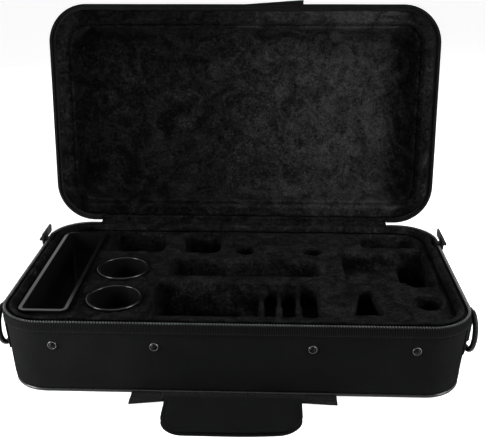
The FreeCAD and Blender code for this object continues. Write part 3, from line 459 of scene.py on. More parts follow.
def zip_runs(spacing):
    """Runs along the zip, from the left end of the hinge round the front to its right end."""
    first, last = ZIP_END_X, PERIMETER - ZIP_END_X
    return np.linspace(first, last, int((last - first) / spacing) + 1)


def full_runs(spacing):
    """Runs all round the case."""
    return np.linspace(0, PERIMETER, int(PERIMETER / spacing) + 1)[:-1]


def wave_noise(points, scale, seed):
    """Smooth noise between -1 and 1 at points in millimetres."""
    shift = seed * Vector((17.3, 5.1, 9.7))
    return np.array([noise.noise(Vector(p) / scale + shift) for p in points])


def opened(points):
    """Points of the shut lid turned to where the photographed lid stands."""
    x, y, z = np.asarray(points, float).T - [[0.0], [HINGE_Y], [BASE_HEIGHT]]
    cosine, sine = math.cos(OPEN_ANGLE), math.sin(OPEN_ANGLE)
    return np.stack([x, HINGE_Y + y * cosine + z * sine, BASE_HEIGHT - y * sine + z * cosine], 1)


def sweep(name, profile, runs, material, body, slot_name, lid=False, closed_run=False, relief=None):
    """A closed profile of (inset, height) points carried along the rim's outline."""
    profile = np.array(profile, float)
    places, outward = outline_at(runs)
    heights = np.tile(profile[:, 1], (len(runs), 1))
    pulls = draw_in(heights) + profile[:, 0]
    if relief is not None:
        push, lift = relief(np.asarray(runs)[:, None], profile[:, 0][None, :], heights)
        pulls = pulls - push
        heights = heights + lift
    flat = places[:, None] - outward[:, None] * pulls[:, :, None]
    points = np.dstack([flat, heights]).reshape(-1, 3)
    return skin(name, points, profile, runs, material, body, slot_name, lid, closed_run)


def smooth_noise(runs, heights, run_scale, height_scale, seed):
    """A smooth pattern over runs and heights, between about -1 and 1."""
    a = np.sin(runs / run_scale + seed) * np.cos(heights / height_scale + 1.7 * seed)
    b = np.sin(runs / (0.61 * run_scale) + heights / (1.3 * height_scale) + 2.9 * seed)
    c = np.cos(runs / (0.37 * run_scale) - heights / (0.7 * height_scale) + 4.3 * seed)
    return (a + 0.6 * b + 0.4 * c) / 2


def vectors(collection, key):
    """One kind of vector of a mesh's vertices or normals, as rows."""
    values = np.zeros(len(collection) * 3)
    collection.foreach_get(key, values)
    return values.reshape(-1, 3)


def from_node(node, name, voxel, material, body, smooth_steps, shrink=0.0, form=None):
    """A soft copy of a CAD solid: remeshed, rounded and then formed vertex by vertex."""
    made = shown(name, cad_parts[node].data.copy())
    remesh = made.modifiers.new("Remesh", "REMESH")
    remesh.mode, remesh.voxel_size = "VOXEL", voxel * MM
    soften = made.modifiers.new("Soften", "SMOOTH")
    soften.factor, soften.iterations = 0.5, smooth_steps
    bpy.context.view_layer.update()
    evaluated = made.evaluated_get(bpy.context.evaluated_depsgraph_get())
    mesh = bpy.data.meshes.new_from_object(evaluated)
    made.modifiers.clear()
    made.data, mesh.name = mesh, name
    mesh.materials.clear()
    mesh.materials.append(material)
    places, normals = vectors(mesh.vertices, "co") / MM, vectors(mesh.vertex_normals, "vector")
    if form is not None:
        places = form(places, normals)
    mesh.vertices.foreach_set("co", ((places - normals * shrink) * MM).ravel())
    mesh.polygons.foreach_set("use_smooth", [True] * len(mesh.polygons))
    mesh.update()
    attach(made, body)
    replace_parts(made, node)
    return made


# Camera at the photograph's angle, floor and studio light

PHOTO_WIDTH = 487.0
FOCAL_PIXELS = 786.36
SENSOR = 36.0
CAMERA_PLACE = Vector((0.03007, -0.65911, 0.37331))
CAMERA_PITCH = math.radians(21.37)
CAMERA_YAW = math.radians(-2.22)
CAMERA_ROLL = math.radians(-0.17)


def make_camera():
    """The camera, from its place and its three angles."""
    forward = Vector((math.sin(CAMERA_YAW) * math.cos(CAMERA_PITCH),
                      math.cos(CAMERA_YAW) * math.cos(CAMERA_PITCH), -math.sin(CAMERA_PITCH)))
    level = Vector((math.cos(CAMERA_YAW), -math.sin(CAMERA_YAW), 0))
    above = level.cross(forward)
    right = math.cos(CAMERA_ROLL) * level + math.sin(CAMERA_ROLL) * above
    up = -math.sin(CAMERA_ROLL) * level + math.cos(CAMERA_ROLL) * above
    data = bpy.data.cameras.new("camera")
    data.sensor_width = SENSOR
    data.lens = FOCAL_PIXELS * SENSOR / PHOTO_WIDTH
    data.clip_start = 0.02
    camera = shown("camera", data)
    turn = Matrix((right, up, -forward)).transposed().to_4x4()
    camera.matrix_world = Matrix.Translation(CAMERA_PLACE) @ turn
    bpy.context.scene.camera = camera


def area_light(name, place, target, size, power, reflected):
    """A softbox that faces a target; its power is in watts."""
    data = bpy.data.lights.new(name, "AREA")
    data.shape, data.size, data.size_y = "RECTANGLE", size[0], size[1]
    data.energy = power
    lamp = shown(name, data)
    lamp.location = place
    lamp.visible_glossy = reflected
    lamp.rotation_euler = (Vector(target) - Vector(place)).to_track_quat("-Z", "Y").to_euler()


def seen_directly(nodes):
    """1 for camera, glossy and transmission rays, 0 for the rays that light the object."""
    rays = nodes.add("ShaderNodeLightPath").outputs
    seen = nodes.math("MAXIMUM", rays["Is Camera Ray"], rays["Is Glossy Ray"])
    return nodes.math("MAXIMUM", seen, rays["Is Transmission Ray"])


def make_world(ambient):
    """Even studio light, with white wherever the room itself is seen."""
    world = bpy.data.worlds.new("studio")
    bpy.context.scene.world = world
    nodes = Nodes(world, "Background")
    nodes.finish(Color=(1, 1, 1, 1), Strength=nodes.span(seen_directly(nodes), ambient, 1.0))


def make_floor(half, gap, glow):
    """A plain pale floor that keeps the object's shadow; half and gap are metres."""
    mesh = bpy.data.meshes.new("floor")
    level = CAD_BOX[0][2] - gap
    mesh.from_pydata([(-half, -half, level), (half, -half, level), (half, half, level),
                      (-half, half, level)], [], [(0, 1, 2, 3)])
    floor = shown("floor", mesh)
    nodes = surface("pale_floor")
    mesh.materials.append(nodes.finish(
        Base_Color=(0.7, 0.7, 0.7, 1), Roughness=0.9, Specular_IOR_Level=0.1,
        Emission_Color=(1, 1, 1, 1), Emission_Strength=nodes.span(seen_directly(nodes), 0.0, glow)))


# Softboxes: place, target and size in metres, power in watts, and whether gloss mirrors them
LIGHTS = {
    "overhead": ((0.1, -0.35, 1.3), (0, 0.0, 0.08), (0.9, 0.7), 3.4, True),
    "key": ((0.66, -0.16, 0.5), (0.02, 0.13, 0.17), (0.3, 0.3), 6, True),
    "right_fill": ((0.62, -0.34, 0.16), (0.1, -0.1, 0.05), (0.2, 0.25), 2.0, True),
    "left_fill": ((-0.46, -0.25, 0.18), (-0.1, -0.1, 0.05), (0.2, 0.25), 4.0, True),
    "back_fill": ((-0.35, 1.2, 0.6), (0, 0.1, 0.12), (0.6, 0.6), 5, False),
}
make_camera()
make_world(ambient=0.1)
make_floor(half=3.0, gap=0.0002, glow=0.85)
for light_name, light in LIGHTS.items():
    area_light(light_name, *light)


# Cover: the cloth bands round the walls and the two large panels

BAND_THICKNESS = 1.2
SEAM_Z = 3.6
BAND_TOP = 66.6
PUCKER_PITCH = 9.0
STUD_XS = (-147.0, -64.0, 64.0, 147.0)
STUD_Z = 47.0
# How far round a stud the band lies flat, in square millimetres
STUD_FLAT = 60.0
FRONT_MIDDLE = PERIMETER / 2


def mirror_lid(profile):
    """A base profile turned over for the lid, whose rim plane is the same."""
    return [(inset, 2 * BASE_HEIGHT - z) for inset, z in profile]


def band_relief(seed, far_edge, rim_edge, strength):
    """Soft waves in the band, flat round the studs, with puckers where it is sewn to the piping."""
    def relief(runs, insets, heights):
        waves = 0.55 * smooth_noise(runs, heights, 27.0, 21.0, seed)
        waves = waves + 0.22 * smooth_noise(runs, heights, 9.0, 13.0, seed + 3)
        span = abs(rim_edge - far_edge)
        from_seam = np.abs(heights - far_edge) / span
        hold = np.clip(from_seam * 6, 0, 1) * np.clip(np.abs(heights - rim_edge) / span * 6, 0, 1)
        pucker = 0.28 * np.sin(2 * math.pi * runs / PUCKER_PITCH + 2 * np.sin(runs / 31.0))
        pucker = pucker * np.exp(-from_seam * 9) * np.clip(from_seam * 25, 0, 1)
        push = strength * (waves * hold + pucker)
        if far_edge < STUD_Z:
            for x in STUD_XS:
                away = (runs - FRONT_MIDDLE - x) ** 2 + (heights - STUD_Z) ** 2
                push = push * (1 - np.exp(-away / STUD_FLAT))
        return push, 0 * heights
    return relief


# The band's closed section: down the outside, in under the piping's seam and up the inside
BAND_PROFILE = ([(0.0, z) for z in np.linspace(BAND_TOP, 7.0, 34)]
                + [(0.05, 5.6), (0.25, 4.6), (0.75, 3.9), (1.35, SEAM_Z), (1.7, 4.4), (1.3, 5.6)]
                + [(BAND_THICKNESS, z) for z in np.linspace(8.0, BAND_TOP, 9)])


def make_band(name, node, body, lid, seed):
    """The cloth band round the base's or the lid's walls."""
    profile, rim, far, strength = BAND_PROFILE, BAND_TOP, SEAM_Z, 1.0
    if lid:
        share = (LID_HEIGHT - (BASE_HEIGHT - BAND_TOP) - SEAM_Z) / (BAND_TOP - SEAM_Z)
        profile = mirror_lid([(inset, BAND_TOP - (BAND_TOP - z) * share) for inset, z in BAND_PROFILE])
        rim, far, strength = 2 * BASE_HEIGHT - BAND_TOP, CASE_TOP - SEAM_Z, 0.8
    made = sweep(name, profile, full_runs(2.6), CLOTH, body, "cover_cloth", lid, True,
                 band_relief(seed, far, rim, strength))
    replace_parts(made, node)
    return made


# A panel's rings as shares of its edge's distance from the middle, and its puckers by the piping
PANEL_SHARES = (1.0, 0.985, 0.96, 0.9, 0.82, 0.73, 0.64, 0.55, 0.46, 0.37, 0.28, 0.19, 0.1, 0.03)
PANEL_THICKNESS = 1.2
PANEL_INSET = 3.2
TUCK_PITCH = 11.0


def make_panel(name, node, body, z_out, lid, seed):
    """A large cover panel: a sheet held in the piping all round, faintly waved outside."""
    runs = full_runs(6.0)
    places, outward = outline_at(runs)
    edge = places - outward * (float(draw_in(z_out)) + PANEL_INSET)
    side = 1 if lid else -1
    tuck = 0.22 * np.sin(2 * math.pi * runs / TUCK_PITCH)
    points = []
    for z, outside in ((z_out, 1), (z_out - side * PANEL_THICKNESS, 0)):
        for share in PANEL_SHARES:
            ring = edge * share
            waves = 0.35 * smooth_noise(ring[:, 0], ring[:, 1], 38.0, 29.0, seed) * (1 - share ** 4)
            height = z + side * outside * (waves + tuck * (0.93 < share < 0.99))
            points.append(np.column_stack([ring, height]))
    made = two_skins(name, np.vstack(points), len(PANEL_SHARES), CLOTH, body, lid)
    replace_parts(made, node)
    return made


base_band = make_band("base_cover_band", "base_side_band", "base", False, 0.4)
lid_band = make_band("lid_cover_band", "lid_side_band", "lid", True, 2.1)
bottom_panel = make_panel("base_bottom_cover", "base_bottom_panel", "base", 0.0, False, 1.3)
top_panel = make_panel("lid_top_cover", "lid_top_panel", "lid", CASE_TOP, True, 5.2)


# Zip: tapes sewn over the bands' edges, hems, stitches and the two coils

TAPE_PROFILE = [(-0.82, 67.3), (-0.85, 65.0), (-0.85, 62.8), (-0.84, 59.9), (-0.7, 59.35), (-0.1, 59.3),
                (-0.05, 62.8), (-0.05, 65.0), (0.0, 67.3), (0.1, 68.2), (-0.3, 68.4), (-0.7, 67.9)]
HEM_PROFILE = [(-0.05, 57.6), (-0.6, 57.8), (-0.98, 58.6), (-1.08, 59.7), (-1.08, 60.9), (-0.98, 61.6),
               (-0.8, 61.85), (-0.86, 60.6), (-0.86, 59.2), (-0.3, 58.9)]
COIL_CENTRE_INSET = 1.15
COIL_CENTRE_Z = 68.1
COIL_RADIUS = 0.86
COIL_WIRE = 0.42
COIL_CORE = 0.4
COIL_PITCH = 2.4
COIL_STEPS = 10
STITCH_PITCH = 3.2
STITCH_LENGTH = 2.3
STITCH_RADIUS = 0.16
STITCH_Z = 60.3
STITCH_INSET = -1.12


def outline_points(runs, insets, heights, lid):
    """Points on the case at each run, inset and height."""
    places, outward = outline_at(runs)
    flat = places - outward * (draw_in(heights) + insets)[:, None]
    points = np.column_stack([flat, heights])
    return opened(points) if lid else points


def tube(points, radius, sides):
    """Rings of a round tube along points, with its faces; each end is capped."""
    points = np.asarray(points, float)
    ahead = np.gradient(points, axis=0)
    ahead /= np.linalg.norm(ahead, axis=1)[:, None]
    helper = np.where(np.abs(ahead[:, 2:3]) > 0.9, (1.0, 0.0, 0.0), (0.0, 0.0, 1.0))
    side = np.cross(ahead, helper)
    side /= np.linalg.norm(side, axis=1)[:, None]
    up = np.cross(side, ahead)
    angles = (np.arange(sides) * 2 * math.pi / sides)[None, :, None]
    ring = side[:, None, :] * np.cos(angles) + up[:, None, :] * np.sin(angles)
    faces, _ = grid_faces(len(points), sides)
    for start in (0, (len(points) - 1) * sides):
        faces.append(tuple(range(start, start + sides)))
    return (points[:, None, :] + radius * ring).reshape(-1, 3), faces


def joined(parts):
    """Several lists of points and faces as one."""
    points, faces, start = [], [], 0
    for some, more in parts:
        points.append(np.asarray(some, float))
        faces += [tuple(start + v for v in face) for face in more]
        start += len(some)
    return np.vstack(points), faces


def make_coil(side, lid):
    """One coil rail of the zip, a helix of drawn wire over a cord core."""
    turns = int((PERIMETER - 2 * ZIP_END_X) / COIL_PITCH)
    runs = ZIP_END_X + np.arange(turns * COIL_STEPS + 1) * COIL_PITCH / COIL_STEPS
    phase = 2 * math.pi * runs / COIL_PITCH
    middle, up = (2 * BASE_HEIGHT - COIL_CENTRE_Z, -1) if lid else (COIL_CENTRE_Z, 1)
    helix = outline_points(runs, COIL_CENTRE_INSET + COIL_RADIUS * np.cos(phase),
                           middle + up * COIL_RADIUS * np.sin(phase), lid)
    # The lid's coil takes the darker painted-shade copy of the nylon, the base's the lighter painted-light
    # copy
    wire = piece(f"zip_coil_{side}_wire", *tube(helix, COIL_WIRE, 5), LID_COIL_PAINTED_SHADE if lid else BASE_COIL_PAINTED_LIGHT, side,
                 "zip_coil")
    runs = zip_runs(COIL_PITCH)
    core = outline_points(runs, COIL_CENTRE_INSET, np.full(len(runs), middle), lid)
    piece(f"zip_coil_{side}_cord", *tube(core, COIL_CORE, 6), THREAD, side, "zip_coil")
    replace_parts(wire, f"zip_coil_{side}")


def make_stitches(side, lid):
    """A row of raised lockstitches along the hem."""
    z = np.full(5, 2 * BASE_HEIGHT - STITCH_Z if lid else STITCH_Z)
    along = np.array([-0.5, -0.35, 0.0, 0.35, 0.5]) * STITCH_LENGTH
    insets = STITCH_INSET + np.array([0.14, -0.06, -0.12, -0.06, 0.14])
    runs = np.arange(ZIP_END_X + STITCH_PITCH / 2, PERIMETER - ZIP_END_X, STITCH_PITCH)
    parts = [tube(outline_points(run + along, insets, z, lid), STITCH_RADIUS, 5) for run in runs]
    return piece(f"{side}_hem_stitches", *joined(parts), THREAD, side, "cover_cloth")


def tape_relief(seed):
    """A zip tape's edge wanders a little, and its face ripples between the stitches."""
    def relief(runs, insets, heights):
        ripple = 0.06 * np.sin(2 * math.pi * runs / 6.4 + seed) * np.clip((69 - heights) / 8, -1, 1) ** 2
        return ripple + 0.08 * smooth_noise(runs, heights, 33.0, 40.0, seed), 0 * heights
    return relief


def hem_relief(seed):
    """A folded hem, drawn in at each stitch."""
    def relief(runs, insets, heights):
        draw = -0.16 * (0.5 + 0.5 * np.cos(2 * math.pi * (runs - ZIP_END_X) / STITCH_PITCH))
        lift = 0.16 * smooth_noise(runs, 0 * heights, 21.0, 10.0, seed)
        return draw * (insets < -0.3), lift + 0 * heights
    return relief


def make_zip(side, lid, seed):
    """The tape, hem, stitches and coil of one half of the zip."""
    placed = mirror_lid if lid else list
    tape = sweep(f"zip_tape_{side}_woven", placed(TAPE_PROFILE), zip_runs(2.2), TAPE, side, "zip_tape", lid,
                 relief=tape_relief(seed))
    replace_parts(tape, f"zip_tape_{side}")
    hem = sweep(f"{side}_band_hem", placed(HEM_PROFILE), zip_runs(0.8), CLOTH, side, "cover_cloth", lid,
                relief=hem_relief(seed))
    make_coil(side, lid)
    return [hem, make_stitches(side, lid)]


base_hem = make_zip("base", False, 0.7)
lid_hem = make_zip("lid", True, 3.9)


# Plush: rim lip, fitted insert, floor pad, lid lining

LIP_PROFILE = [(5.15, 66.9), (5.05, 68.2), (5.4, 69.1), (6.4, 69.55), (7.6, 69.6), (8.9, 69.1),
               (10.0, 67.9), (10.9, 66.2), (11.45, 64.4), (11.5, 63.4), (10.6, 63.3), (8.6, 63.35),
               (6.9, 63.4), (6.65, 65.0), (6.6, 66.8)]


def lip_relief(runs, insets, heights):
    """Puckers and soft lumps in the stuffed lip."""
    lumps = 0.3 * smooth_noise(runs, heights, 14.0, 6.0, 1.9)
    lumps = lumps + 0.12 * np.sin(2 * math.pi * runs / 7.3 + np.sin(runs / 19.0))
    top = np.clip((heights - 63.6) / 3, 0, 1)
    return -lumps * top * (insets > 8), -np.abs(lumps) * top * 0.8


rim_lip = sweep("base_rim_roll", LIP_PROFILE, full_runs(1.8), PLUSH, "base", "plush",
                closed_run=True, relief=lip_relief)
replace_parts(rim_lip, "base_rim_lip")


def lid_inset(places):
    """How far in from the lid's outline points of the open lid are."""
    behind, above = places[:, 1] - HINGE_Y, places[:, 2] - BASE_HEIGHT
    rise = above * math.sin(OPEN_ANGLE) - behind * math.cos(OPEN_ANGLE)
    along, across = np.abs(places[:, 0]) - STRAIGHT_X, np.abs(HINGE_Y - rise) - STRAIGHT_Y
    past = np.hypot(np.maximum(along, 0), np.maximum(across, 0))
    return CORNER_RADIUS - past - np.minimum(np.maximum(along, across), 0)


def tufted(depth, scale, seed, folds=()):
    """A former that moves points along their normals in soft tufts, with folds on the lid's floor."""
    def form(places, normals):
        lift = wave_noise(places, scale, seed) * depth
        lift = lift + wave_noise(places, scale * 0.28, seed + 5) * depth * 0.4
        flat = places[:, (0, 2)]
        for line, width, height in folds:
            near = np.full(len(places), np.inf)
            for start, end in zip(line[:-1], line[1:]):
                start, way = np.array(start), np.subtract(end, start)
                share = np.clip(((flat - start) @ way) / (way @ way), 0, 1)
                near = np.minimum(near, np.linalg.norm(flat - start - share[:, None] * way, axis=1))
            lift = lift + height * np.exp(-(near / width) ** 2) * (normals[:, 1] < -0.4)
        if folds:
            inset = lid_inset(places)
            tuck = WELT_HEIGHT * np.exp(-((inset - WELT_INSET) / WELT_WIDTH) ** 2)
            tuck = tuck - TUCK_DEPTH * np.exp(-((inset - TUCK_INSET) / TUCK_WIDTH) ** 2)
            lift = lift + tuck * (normals[:, 1] < -0.3)
        return places + normals * lift[:, None]
    return form


# The ribs in the front slot, and how far their pile stands out
RIB_FROM, RIB_TO = 8.0, 62.0
RIB_BEHIND = -50.0
RIB_ABOVE = 20.0
RIB_SWELL = 1.1

# The tuck where the lining turns down from its rim, and the welt beside it
TUCK_INSET, TUCK_WIDTH, TUCK_DEPTH = 19.5, 1.9, 2.8
WELT_INSET, WELT_WIDTH, WELT_HEIGHT = 15.5, 2.4, 1.0

# Folds in the lid's lining: the line in X and Z, the half width and the height
LINING_FOLDS = (
    (((-168, 250), (-163, 262), (-152, 270), (-140, 272)), 3.2, 2.2),
    (((-158, 240), (-150, 251), (-141, 262)), 3.4, 1.9),
    (((-163, 228), (-158, 190), (-163, 150), (-160, 112)), 5.0, 2.4),
    (((-140, 232), (-133, 180), (-138, 128)), 8.0, 1.0),
    (((-150, 268), (-158, 232)), 4.0, -1.6),
    (((2, 226), (20, 246), (44, 262)), 3.0, -1.3),
    (((-4, 236), (14, 256), (30, 266)), 5.0, 1.3),
    (((60, 262), (96, 268), (150, 262)), 6.0, 0.9),
    (((120, 100), (140, 130), (146, 180)), 7.0, 0.9),
)


def insert_form(places, normals):
    """The insert's tufts, with the front slot's ribs swollen by their pile."""
    x, y, z = places.T
    rib = (x > RIB_FROM) & (x < RIB_TO) & (y < RIB_BEHIND) & (z > RIB_ABOVE) & (np.abs(normals[:, 0]) > 0.3)
    return tufted(0.7, 9.0, 1.0)(places, normals) + normals * (RIB_SWELL * rib)[:, None]


insert = from_node("base_insert", "fitted_insert", 1.8, PLUSH, "base", 2, 0.15, insert_form)
floor_pad = from_node("base_floor_pad", "floor_cushion", 3.0, FOAM, "base", 4, 0.1)
lining = from_node("lid_lining", "lid_lining_plush", 1.8, LINING, "lid", 1, 0.15,
                   tufted(0.9, 10.0, 2.0, LINING_FOLDS))


# Hinge: the cloth behind it and the plush strip inside it, shaped bent from the base to the open lid

HINGE_HALF = 149.2
HINGE_RINGS = 141
HINGE_CLOTH_SECTION = [(109.0, 52.0), (109.45, 56.0), (109.9, 61.0), (110.35, 65.5), (110.7, 68.0),
                       (111.0, 69.1), (111.6, 69.55), (113.0, 69.62), (117.0, 69.6), (122.0, 69.58),
                       (128.4, 69.6), (128.4, 70.25), (122.0, 70.3), (117.0, 70.34), (113.0, 70.36),
                       (111.4, 70.3), (110.6, 70.0), (110.15, 69.3), (110.0, 68.0), (109.7, 65.5),
                       (109.4, 61.0), (109.0, 56.0), (108.75, 52.0)]
HINGE_STRIP_SECTION = [(105.35, 67.2), (105.3, 68.6), (105.9, 69.4), (107.2, 69.6), (108.6, 69.65),
                       (109.7, 69.85), (110.5, 70.4), (110.95, 71.4), (111.15, 72.8), (111.2, 74.2),
                       (111.5, 75.1), (112.4, 75.4), (113.4, 75.1), (113.9, 74.0), (114.0, 72.6),
                       (113.4, 71.4), (112.3, 70.75), (111.3, 70.55), (110.6, 70.25), (110.1, 69.5),
                       (109.85, 68.4), (109.7, 67.1), (107.5, 66.95)]


def along_hinge(name, section, material, slot_name, ripple, seed):
    """A closed section in Y and Z carried along the hinge, which bends from the base to the lid."""
    xs = np.linspace(-HINGE_HALF, HINGE_HALF, HINGE_RINGS)
    section = np.array(section, float)
    points = np.zeros((len(xs), len(section), 3))
    points[:, :, 0] = xs[:, None]
    points[:, :, 1:] = section
    points[:, :, 2] -= np.abs(ripple * smooth_noise(xs[:, None], section[None, :, 1] * 2, 9.0, 7.0, seed))
    made = skin(name, points.reshape(-1, 3), section, xs, material, None, slot_name)
    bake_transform(made)
    return made


hinge_cloth = along_hinge("hinge_cover_cloth", HINGE_CLOTH_SECTION, CLOTH, "cover_cloth", 0.05, 0.3)
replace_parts(hinge_cloth, "hinge_cloth_lower", "hinge_cloth_upper")
hinge_strip = along_hinge("hinge_plush_strip", HINGE_STRIP_SECTION, PLUSH, "plush", 0.15, 2.7)
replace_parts(hinge_strip, "hinge_strip_lower", "hinge_strip_upper")


# Webbing: straps as ribbons with rounded selvedges

RIBBON_STEP = 2.0
# A strap's section as shares of its width and thickness
RIBBON_SECTION = [(0.0, 0.5), (0.012, 0.85), (0.04, 1.0), (0.1, 0.97), (0.2, 0.93), (0.35, 0.95),
                  (0.5, 0.96), (0.65, 0.95), (0.8, 0.93), (0.9, 0.97), (0.96, 1.0), (0.988, 0.85),
                  (1.0, 0.5), (0.988, 0.15), (0.96, 0.0), (0.8, 0.04), (0.5, 0.04), (0.2, 0.04),
                  (0.04, 0.0), (0.012, 0.15)]


def ribbon(name, edge_a, edge_b, levels, body, lid=False):
    """A flat webbing strap between two edges in plan, with rounded selvedges."""
    edges = np.stack([edge_a, edge_b], 1)
    pairs = [edges[0]]
    for start, end in zip(edges[:-1], edges[1:]):
        count = max(1, int(np.linalg.norm(end - start, axis=1).max() / RIBBON_STEP))
        pairs += [(1 - t) * start + t * end for t in np.arange(1, count + 1) / count]
    first, second = np.stack(pairs, 1)
    low, thickness = levels[0], levels[1] - levels[0]
    section = np.array(RIBBON_SECTION)
    points = np.zeros((len(first), len(section), 3))
    points[:, :, :2] = first[:, None, :] + (second - first)[:, None, :] * section[None, :, :1]
    points[:, :, 2] = low + section[None, :, 1] * thickness
    width = np.linalg.norm(second - first, axis=1).mean()
    section, runs = section * (width, thickness), lengths_along((first + second) / 2)
    return skin(name, points.reshape(-1, 3), section, runs, WEBBING, body, "webbing", lid)


STRAP_WIDTH = 25.0


def sewn_end(name, node, start, ends, levels, body, lid=False):
    """A strap's sewn end, from its left edge and the two places in Y where it stops."""
    edges = [[(x, y) for y in ends] for x in (start, start + STRAP_WIDTH)]
    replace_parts(ribbon(name, *edges, levels, body, lid), node)


# The base handle's webbing, which swings about its fold at the case's front edge
HANDLE_AXIS_Y = -114.136
HANDLE_LEVELS = (1.0, 2.6)
HANDLE_REAR = HANDLE_AXIS_Y + 0.7
HANDLE_HALF = 85.0
WRAP_HALF = 56.0
WRAP_EDGE = 56.3
BEND_HALF = 59.95
SEWN_Y = -105.5
ribbon("base_loop_left", [(-HANDLE_HALF, HANDLE_REAR), (-WRAP_EDGE, HANDLE_REAR)],
       [(-HANDLE_HALF, -122.4), (-WRAP_EDGE, -117.4)], HANDLE_LEVELS, "base_handle")
ribbon("base_loop_right", [(WRAP_EDGE, HANDLE_REAR), (HANDLE_HALF, HANDLE_REAR)],
       [(WRAP_EDGE, -116.4), (HANDLE_HALF, -118.6)], HANDLE_LEVELS, "base_handle")
loop_band = ribbon("base_loop_band", [(-WRAP_EDGE, -115.2), (WRAP_EDGE, -115.2)],
                   [(-WRAP_EDGE, -137.1), (WRAP_EDGE, -137.1)], HANDLE_LEVELS, "base_handle")
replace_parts(loop_band, "base_handle_webbing")
bend = ribbon("base_loop_bend", [(-BEND_HALF, SEWN_Y), (BEND_HALF, SEWN_Y)],
              [(-BEND_HALF, -116.2), (BEND_HALF, -116.2)], HANDLE_LEVELS, None)
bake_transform(bend)
for side, start in (("left", -HANDLE_HALF), ("right", HANDLE_HALF - STRAP_WIDTH)):
    sewn_end(f"base_loop_end_{side}", "base_handle_stubs", start, (SEWN_Y, -113.0), HANDLE_LEVELS, "base")

# The lid handle's loop and its two sewn ends, on the lid's outside
LOOP_LEVELS = (CASE_TOP + 0.3, CASE_TOP + 1.9)
LOOP_AXIS_Y = -70.0
LOOP_HALF = 60.0
LOOP_INNER_HALF = LOOP_HALF - STRAP_WIDTH
LOOP_REAR = LOOP_AXIS_Y + 0.6
LOOP_ENDS = (LOOP_AXIS_Y + 1.1, LOOP_AXIS_Y + 29.0)
lid_loop = ribbon(
    "lid_loop_webbing",
    [(-LOOP_HALF, LOOP_REAR), (-LOOP_HALF, -106.7), (LOOP_HALF, -115.1), (LOOP_HALF, LOOP_REAR)],
    [(-LOOP_INNER_HALF, LOOP_REAR), (-LOOP_INNER_HALF, -83.45), (LOOP_INNER_HALF, -88.35),
     (LOOP_INNER_HALF, LOOP_REAR)], LOOP_LEVELS, "lid_handle", True)
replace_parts(lid_loop, "lid_handle_webbing")
for side, start in (("left", -LOOP_HALF), ("right", LOOP_INNER_HALF)):
    sewn_end(f"lid_loop_end_{side}", "lid_handle_ends", start, LOOP_ENDS, LOOP_LEVELS, "lid", True)


# Padded wrap round the base handle

WRAP_FRONT = HANDLE_AXIS_Y - 47.0
WRAP_CORNER = 19.0
WRAP_SKEW = 4.5

# A leaf's rings as insets from its edge, and each ring's share of the full padding there
LEAF_RINGS = ((0.0, 0.5), (0.25, 0.82), (0.7, 0.95), (1.5, 1.0), (2.6, 0.93), (3.4, 0.62), (4.2, 0.86),
              (5.6, 1.0), (8.0, 1.0), (10.5, 1.0), (13.0, 1.0), (15.5, 1.0), (17.5, 1.0))
LEAF_ROLL = 1.0
LEAF_BINDING = 4.5


def leaf_outline(back, inset):
    """The wrap's outline in plan: straight at the back, with two round front corners."""
    half, front, radius = WRAP_HALF - inset, WRAP_FRONT + inset, WRAP_CORNER - inset

    def corner(x, first, last):
        angles = np.linspace(first, last, 13)
        return list(zip(x + radius * np.cos(angles), front + radius + radius * np.sin(angles)))

    points = [(half, y) for y in np.linspace(back - inset, front + radius, 14)[:-1]]
    points += corner(half - radius, 0, -math.pi / 2)
    points += [(x, front) for x in np.linspace(half - radius, -half + radius, 30)[1:-1]]
    points += corner(-half + radius, -math.pi / 2, -math.pi)
    points += [(-half, y) for y in np.linspace(front + radius, back - inset, 14)[1:]]
    points += [(x, back - inset) for x in np.linspace(-half, half, 40)[1:-1]]
    points = np.array(points)
    aside = np.clip(points[:, 0] / WRAP_HALF, 0, 1) ** 2
    points[:, 1] += WRAP_SKEW * aside * (points[:, 1] - back) / (WRAP_FRONT - back)
    return points


def make_leaf(name, node, back, levels, edge_levels, body, seed):
    """A leaf of the wrap, padded in the middle and stitched flat along a bound edge."""
    middle = sum(levels) / 2
    rings = []
    for side, reach, edge in ((1, levels[1], edge_levels[1]), (-1, levels[0], edge_levels[0])):
        for inset, share in LEAF_RINGS:
            ring = leaf_outline(back, inset)
            rest = (reach if inset > LEAF_BINDING else edge) - middle
            height = middle + rest * (2 * share - 1 if inset < LEAF_ROLL else share)
            soft = 0.24 * smooth_noise(ring[:, 0], ring[:, 1], 12.0, 9.0, seed + side)
            rings.append(np.column_stack([ring, height - side * np.abs(soft * (inset > LEAF_BINDING))]))
    made = two_skins(name, np.vstack(rings), len(LEAF_RINGS), CLOTH_WRAP, body)
    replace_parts(made, node)


make_leaf("wrap_leaf_upper", "handle_wrap_upper", -115.15, (3.15, 5.9), (3.3, 5.2), "wrap_flap", 1.0)
make_leaf("wrap_leaf_lower", "handle_wrap_lower", -113.5, (0.05, 0.9), (0.05, 2.7), "base_handle", 4.0)


# Rivets on the front wall: a dark dome in a brighter rolled ring

STUD_SIDES = 32
DOME_PROFILE = [(0.0, 2.35), (0.7, 2.28), (1.4, 2.02), (2.0, 1.6), (2.5, 1.05), (2.75, 0.6), (2.8, 0.1),
                (0.0, 0.1)]
RING_PROFILE = [(2.85, 0.1), (2.92, 0.7), (3.1, 1.05), (3.35, 1.15), (3.6, 1.0), (3.8, 0.6), (3.85, 0.1)]


def turned(profile, sides, closed):
    """A profile of (radius, height) points turned about its axis."""
    angles = np.arange(sides) * 2 * math.pi / sides
    points = [(r * math.cos(a), r * math.sin(a), h) for r, h in profile for a in angles]
    return np.array(points), grid_faces(len(profile), sides, closed)[0]


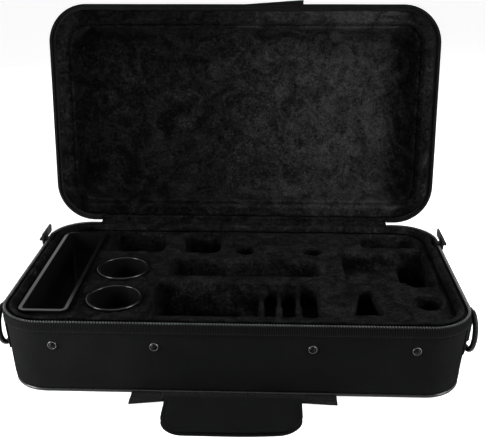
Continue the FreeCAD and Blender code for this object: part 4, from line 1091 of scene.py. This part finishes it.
def on_front_wall(points, x):
    """Points about an axis out of the wall moved to a stud's place on the front wall."""
    slope = math.atan2(BASE_DRAW_IN, BASE_HEIGHT)
    sine, cosine = math.sin(slope), math.cos(slope)
    turn = np.array(((1.0, 0.0, 0.0), (0.0, -sine, cosine), (0.0, -cosine, -sine)))
    return points @ turn + (x, float(draw_in(STUD_Z)) - HALF_DEPTH, STUD_Z)


def make_studs(name, node, profile, closed, material):
    """One turned shape at each of the four stud places."""
    points, faces = turned(profile, STUD_SIDES, closed)
    points, faces = joined([(on_front_wall(points, x), faces) for x in STUD_XS])
    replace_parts(piece(name, points, faces, material, "base", "nickel"), node)


# A moulded ring is thicker than the solid by this much, in front of its bar
RING_EXTRA = 0.8
RING_BAR_Y = -66.6
RING_TAPER = 3.0


def thicker(places, normals):
    """A drawn ring made up to a moulded one, but for its bar."""
    return places + normals * RING_EXTRA * np.clip((RING_BAR_Y - places[:, 1:2]) / RING_TAPER, 0, 1)


PATCH_SECTION = [(-0.05, 33.2), (-0.7, 32.9), (-1.2, 33.4), (-1.15, 36.0), (-1.2, 45.5), (-1.15, 55.0),
                 (-1.2, 57.6), (-0.7, 58.1), (-0.05, 57.8), (-0.05, 45.5)]
# The patches' runs, from where the front corner ends
CORNER_END = FRONT_MIDDLE + STRAIGHT_X + QUARTER
PATCH_NEAR = CORNER_END + 4.3
PATCH_FAR = CORNER_END - 20.0
for side, runs in (("right", np.linspace(PATCH_FAR, PATCH_NEAR, 30)),
                   ("left", PERIMETER - np.linspace(PATCH_NEAR, PATCH_FAR, 30))):
    from_node(f"d_ring_{side}", f"moulded_ring_{side}", 0.5, DARK_METAL, f"ring_{side}", 2,
              form=thicker)
    sweep(f"ring_patch_{side}", PATCH_SECTION, runs, WEBBING, "base", "webbing")


make_studs("stud_domes", "front_rivets", DOME_PROFILE, False, STUD_METAL)
make_studs("stud_rings", "rivet_washers", RING_PROFILE, True, NICKEL)


# Materials of the nodes that stay as they are

for node_material, node_names in (
        (FOAM, "base_shell lid_shell"), (PIPING, "base_piping lid_piping"), (NICKEL, "rivet_burrs"),
        (BOX_PLASTIC, "accessory_box mouthpiece_cup_front mouthpiece_cup_rear"),
        (ENAMEL, "zip_slider_left zip_slider_right pull_tab_left pull_tab_right"),
        (WEBBING, "ring_tab_left ring_tab_right"), (FASTENER, "wrap_loop_strip wrap_hook_strip")):
    for node_name in node_names.split():
        for node_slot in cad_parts[node_name].material_slots:
            node_slot.material = node_material

bpy.context.scene.view_settings.view_transform = "Standard"
